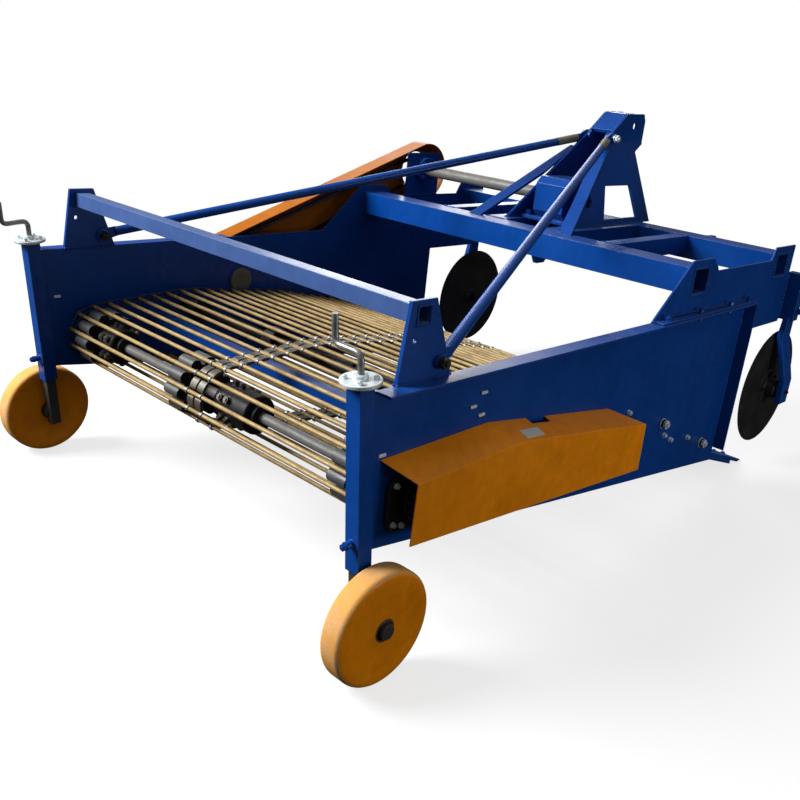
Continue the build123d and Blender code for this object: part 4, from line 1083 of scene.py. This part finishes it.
class DIGGER_OT_bolts(Dress):
    """Hexagon bolts, nuts and screws, plated, painted over or oiled"""

    bl_idname = "digger.bolts"
    bl_label = "Bolts"

    OUT, IN, UP, DOWN, AHEAD = (1, 0, 0), (-1, 0, 0), (0, 0, 1), (0, 0, -1), (0, 1, 0)
    # groups of bolts on the right side: way, size across the flats and places
    PLATES = (OUT, 13, ((OUTER, 1090, 390), (OUTER, 1345, 262), (OUTER, 1395, 236), (OUTER, 1517, 216)))
    ROLLER_ENDS = (OUT, 26, [(OUTER + 2, y, z) for y, z, _ in (*ROLLERS, IDLER)])
    STAY_TOP = (OUT, 22, ((68, 1815, 1086),))
    FLANGE = (OUT, 11, [(OUTER + 14, y, z) for y, z in ((115, 338), (115, 430), (259, 338), (259, 430),
                                                        (141, 330))])
    CLAMPS = ((AHEAD, 19, ((728, 2100, 585),)), (OUT, 19, ((750, 2078, 585),)),
              (AHEAD, 19, ((728, 2100, 680),)), (OUT, 19, ((750, 2078, 680),)))
    # the share falls by 114 over 335 from its rear edge
    SHARE = ((0, 0.322, 0.947), 16, [(669, y, 116 - (y - 1705) * 114 / 335) for y in (1745, 1840, 1925)])
    SEAT = (UP, 19, ((84, 1565, 800), (84, 1735, 800)))
    OILED = ((OUT, 22, ((709, 222, 684),)), (IN, 22, ((673, 222, 684),)),
             (OUT, 12.5, ((781, *DISC_AXLE),)), (IN, 38, ((691, *DISC_AXLE),)))
    # head plates' feet: stations on each side, distance from the centre line, faces and size
    FEET = {1: (1180, 1380, 1580, 1712), -1: (1480, 1590, 1712)}
    FOOT_X, FOOT_FACES, FOOT_SIZE = 719, ((656, UP), (644, DOWN)), 15
    # rings round a cross axis: distance from the centre line, radius, count and size
    GEARBOX, BEARING, DISC = (70, 31, 6, 10), (INNER - 24, 36, 4, 13), (DISC_X + 5, 51, 5, 13)
    JACK_R, JACK_RISE, JACK_SIZE = 31, 8, 10
    LUG, LUG_SIZE = (0, -37, -356), 15
    HUB_STEPS, HUB_COUNT, HUB_SIZE, HUB_SINK = (30, 58), 6, 17, 1

    def side_rows(self, side, *groups):
        """Place, way and size of each bolt in groups, on one side."""
        return [(at(side * x, y, z), (side * way[0], *way[1:]), size)
                for way, size, places in groups for x, y, z in places]

    def ring(self, side, out, axis, x, radius, count, size):
        """Bolts on a circle round a cross axis."""
        rows = []
        for k in range(count):
            a = 2 * math.pi * (k + 0.5) / count
            place = at(side * x, axis[0] + radius * math.cos(a), axis[1] + radius * math.sin(a))
            rows.append((place, (out, 0, 0), size))
        return rows

    def plated(self, side):
        """Bolts left bare: side plates, rollers' ends, stays' tops, bearing flanges and jack flanges."""
        rows = self.side_rows(side, self.PLATES, self.ROLLER_ENDS, self.STAY_TOP, self.FLANGE)
        lean = Vector((0, -math.sin(POST_LEAN), math.cos(POST_LEAN)))
        for k in range(4):
            a = math.pi / 4 + math.pi / 2 * k
            place = on_post(side, self.JACK_R * math.cos(a), self.JACK_R * math.sin(a), self.JACK_RISE)
            rows.append((place, lean, self.JACK_SIZE))
        return rows

    def painted(self, side):
        """Bolts sprayed with the frame: head plates' feet, clamps, post lugs, share and gearbox."""
        feet = [(way, self.FOOT_SIZE, ((self.FOOT_X, y, z),))
                for y in self.FEET[side] for z, way in self.FOOT_FACES]
        rearwards = (0, -math.cos(POST_LEAN), -math.sin(POST_LEAN))
        rows = self.side_rows(side, *feet, *self.CLAMPS)
        rows.append((on_post(side, *self.LUG), rearwards, self.LUG_SIZE))
        rows += self.side_rows(side, self.SHARE, self.SEAT)
        return rows + self.ring(side, side, CROSS_SHAFT, *self.GEARBOX)

    def oiled(self, side):
        """Dull nuts: stays' feet and coulter axles."""
        return self.side_rows(side, *self.OILED)

    def hub_bolts(self):
        """Bolts round the drive shaft's hubs, standing out of them."""
        rows = []
        for start, _ in DIGGER_OT_drive.HUBS:
            for step in self.HUB_STEPS:
                for k in range(self.HUB_COUNT):
                    a = 2 * math.pi * (k + 0.5) / self.HUB_COUNT
                    out = Vector((0, math.cos(a), math.sin(a)))
                    foot = at(start + step, *STAR) + out * (DIGGER_OT_drive.HUB_R - self.HUB_SINK) * MM
                    rows.append((foot, out, self.HUB_SIZE))
        return rows

    def grow(self, name, rows, body, material):
        mesh = mesh_of(name, [r[0] for r in rows])
        out = mesh.attributes.new("out", "FLOAT_VECTOR", "POINT")
        out.data.foreach_set("vector", [float(v) for r in rows for v in r[1]])
        across = mesh.attributes.new("across", "FLOAT", "POINT")
        across.data.foreach_set("value", [r[2] * MM for r in rows])
        settle(grow(name, mesh, self.tree, {"Material": finish(material)}, angle=25), body, material)

    def make(self):
        self.tree = bolt_tree()
        plated, painted, oiled = ([row for side, _ in SIDES for row in rows(side)]
                                  for rows in (self.plated, self.painted, self.oiled))
        painted += self.ring(-1, 1, CROSS_SHAFT, *self.BEARING)
        self.grow("plated_bolts", plated, "frame", "zinc")
        self.grow("painted_bolts", painted, "frame", "blue_paint")
        self.grow("oiled_nuts", oiled, "frame", "dark_steel")
        self.grow("hub_bolts", self.hub_bolts(), "frame", "chain_steel")
        for side, name in SIDES:
            rows = self.ring(side, side, DISC_AXLE, *self.DISC)
            self.grow("coulter_disc_%s_bolts" % name, rows, "coulter_disc_" + name, "dark_steel")


class DIGGER_OT_welds(Dress):
    """Weld beads where plates and tubes meet"""

    bl_idname = "digger.welds"
    bl_label = "Weld beads"

    # straight beads on each side: distances from the centre line, then station and height of both ends
    FEET = (((125.5, 114), (1482, 788), (2014, 788)),        # mast plates
            ((700, 690), (102, 650), (263, 650)))            # rear brackets
    # beads round tubes: distances from the centre line, station, height, half depth and half height
    TUBES = (((INNER, OUTER), 1375, 748, 50, 40), ((INNER, OUTER), 1965, 748, 50, 40),
             ((690, 700), 160, 792, 20, 20), ((INNER,), 395, 408, 20, 20))
    POST_HEIGHTS, POST_FRONT = (640, 292), 20.1
    CLAMP = ((2056, 552), (2056, 714))
    TIE_STATIONS, TIE_HEIGHT, TIES = (1425, 1915), 787, ((320, 370), (85, 165))
    LINKS = ((392.5, 412.5), (2015, 670), (2015, 786))
    CAP = ((41, 1830, 1110), (41, 1905, 1170), (41, 1962, 1172))
    BRACE = ((170, 1397, 788), (216, 1402, 788))
    BEARING_POST = ((1557, 770), (1743, 770))

    def square(self, x, y, z, depth, height):
        turns = ((-1, -1), (1, -1), (1, 1), (-1, 1), (-1, -1))
        return [(x, y + a * depth, z + b * height) for a, b in turns]

    def half(self):
        """Beads on the right half."""
        rows = [[(x, *start), (x, *end)] for places, start, end in self.FEET for x in places]
        rows += [self.square(x, *tube) for places, *tube in self.TUBES for x in places]
        post = [(self.POST_FRONT + (POST_TOP - z) * math.tan(POST_LEAN), z) for z in self.POST_HEIGHTS]
        rows += [[(x, *end) for end in line] for x in (INNER, OUTER) for line in (post, self.CLAMP)]
        rows += [[(x, y, self.TIE_HEIGHT) for x in tie] for y in self.TIE_STATIONS for tie in self.TIES]
        places, *ends = self.LINKS
        rows += [[(x, *end) for end in ends] for x in places]
        return rows + [self.CAP, self.BRACE]

    def make(self):
        lines = [[(side * x, y, z) for x, y, z in line] for side, _ in SIDES for line in self.half()]
        lines += [[(x, *end) for end in self.BEARING_POST] for x in (-INNER, -OUTER)]
        points, edges = [], []
        for line in lines:
            first = len(points)
            points += [at(*p) for p in line]
            edges += [(first + i, first + i + 1) for i in range(len(line) - 1)]
        welds = grow("weld_beads", mesh_of("welds", points, edges), weld_tree(), {
            "Radius": sizes().bead, "Pitch": sizes().bead_pitch,
            "Material": finish("blue_paint")}, angle=70)
        settle(welds, "frame", "blue_paint")


class DIGGER_OT_stage(Dress):
    """Pale floor, soft lights and the camera"""

    bl_idname = "digger.stage"
    bl_label = "Studio"

    LENS, SENSOR, FAR = 40.95, 36.0, 200
    YAW, PITCH, ROLL = math.radians(42.154), math.radians(19.986), math.radians(5.949)
    EYE = (1867.0, -1175.4, 1251.1)
    SKY = (0.03, 0.38)                     # strength at the horizon and overhead
    SKY_HEIGHTS = (0.05, 0.8)
    WHITE = (1, 1, 1, 1)
    FLOOR_HALF = 30
    BOUNCE = (0.03, 0.03, 0.03, 1)         # floor as the object's own faces see it
    GLOW = 0.74                            # share of plain white in the floor below the object
    GLOW_RANGE = (1.2, 3.2)                # distances from the object over which it grows to all white
    # name, place, aim, power and size
    LIGHTS = (("key", (-3.0, -4.2, 4.0), (0, 0, 0.4), 740, 3.4),
              ("fill", (3.2, 0.3, 0.6), (0, 0, 0.4), 19, 0.9),
              ("front", (-3.1, 3.5, 2.4), (0, 0, 0.7), 90, 3.0))

    def floor(self):
        h = self.FLOOR_HALF
        mesh = mesh_of("floor", [(-h, -h, 0), (h, -h, 0), (h, h, 0), (-h, h, 0)], (), [(0, 1, 2, 3)])
        floor = new_object("floor", mesh)
        made = bpy.data.materials.new("floor")
        made.use_nodes = True
        tree = made.node_tree
        shader = tree.nodes["Principled BSDF"]
        camera_ray = out_of(tree, "ShaderNodeLightPath", output="Is Camera Ray")
        pale = toned(colours().floor, noise(tree, 3.0, 3).varied(0.985, 1.0))
        for socket, value in (("Roughness", 0.9), ("Specular IOR Level", 0.0),
                              ("Base Color", mixed(camera_ray, self.BOUNCE, pale))):
            plug(value, shader.inputs[socket])
        place = out_of(tree, "ShaderNodeTexCoord", output="Object")
        away = out_of(tree, "ShaderNodeVectorMath", {0: place}, "Value", operation="LENGTH")
        near, far = self.GLOW_RANGE
        share = out_of(tree, "ShaderNodeMapRange",
                       {"Value": away, "From Min": near, "From Max": far, "To Min": self.GLOW},
                       interpolation_type="SMOOTHSTEP")
        glow = out_of(tree, "ShaderNodeEmission", {"Color": self.WHITE, "Strength": 1.0})
        plain = Wire(tree, shader.outputs["BSDF"])
        both = out_of(tree, "ShaderNodeMixShader", {0: share * camera_ray, 1: plain, 2: glow})
        plug(both, tree.nodes["Material Output"].inputs["Surface"])
        mesh.materials.append(made)

    def light(self, name, place, aim, energy, size):
        lamp = bpy.data.lights.new(name, "AREA")
        lamp.energy = energy
        lamp.shape = "DISK"
        lamp.size = size
        made = new_object(name, lamp)
        made.location = place
        made.rotation_mode = "QUATERNION"
        made.rotation_quaternion = (Vector(aim) - Vector(place)).to_track_quat("-Z", "Y")

    def sky(self):
        """White where the camera sees it; elsewhere brighter overhead than at the horizon."""
        world = bpy.data.worlds.new("studio")
        bpy.context.scene.world = world
        world.use_nodes = True
        tree = world.node_tree
        fill = tree.nodes["Background"]
        way = out_of(tree, "ShaderNodeTexCoord", output="Generated")
        height = out_of(tree, "ShaderNodeSeparateXYZ", {0: way}, "Z")
        plug(height.spread(*self.SKY_HEIGHTS, *self.SKY), fill.inputs["Strength"])
        plug(self.WHITE, fill.inputs["Color"])
        seen = out_of(tree, "ShaderNodeBackground", {"Color": self.WHITE, "Strength": 1.0})
        camera_ray = out_of(tree, "ShaderNodeLightPath", output="Is Camera Ray")
        lit = Wire(tree, fill.outputs["Background"])
        both = out_of(tree, "ShaderNodeMixShader", {0: camera_ray, 1: lit, 2: seen})
        plug(both, tree.nodes["World Output"].inputs["Surface"])

    def camera(self):
        yaw, pitch = self.YAW, self.PITCH
        level = math.cos(pitch)
        ahead = Vector((-math.sin(yaw) * level, math.cos(yaw) * level, -math.sin(pitch)))
        right = Vector((math.cos(yaw), math.sin(yaw), 0))
        up = right.cross(ahead)
        c, s = math.cos(self.ROLL), math.sin(self.ROLL)
        lens = bpy.data.cameras.new("camera")
        lens.sensor_width = self.SENSOR
        lens.lens = self.LENS
        lens.clip_end = self.FAR
        made = new_object("camera", lens)
        turn = Matrix((c * right + s * up, -s * right + c * up, -ahead)).transposed()
        made.matrix_world = Matrix.Translation(at(*self.EYE)) @ turn.to_4x4()
        bpy.context.scene.camera = made

    def make(self):
        bpy.context.scene.view_settings.view_transform = "Standard"
        self.floor()
        self.sky()
        for light in self.LIGHTS:
            self.light(*light)
        self.camera()


PIECES = (DIGGER_OT_stage, DIGGER_OT_plates, DIGGER_OT_web, DIGGER_OT_drive, DIGGER_OT_fittings,
          DIGGER_OT_chains, DIGGER_OT_wheels, DIGGER_OT_coulters, DIGGER_OT_cranks, DIGGER_OT_bolts,
          DIGGER_OT_welds)


class DIGGER_PT_pieces(bpy.types.Panel):
    """Lists the digger's pieces"""

    bl_label = "Potato digger"
    bl_space_type = "VIEW_3D"
    bl_region_type = "UI"
    bl_category = "Digger"

    def draw(self, context):
        for piece in PIECES:
            self.layout.operator(piece.bl_idname)


CLASSES = (DiggerSizes, DiggerColours, *PIECES, DIGGER_PT_pieces)


def register():
    for cls in CLASSES:
        bpy.utils.register_class(cls)
    bpy.types.Scene.digger_sizes = PointerProperty(type=DiggerSizes)
    bpy.types.Scene.digger_colours = PointerProperty(type=DiggerColours)


def unregister():
    del bpy.types.Scene.digger_colours
    del bpy.types.Scene.digger_sizes
    for cls in reversed(CLASSES):
        bpy.utils.unregister_class(cls)


def main():
    register()
    for piece in PIECES:
        group, name = piece.bl_idname.split(".")
        getattr(getattr(bpy.ops, group), name)()


if __name__ == "__main__":
    main()
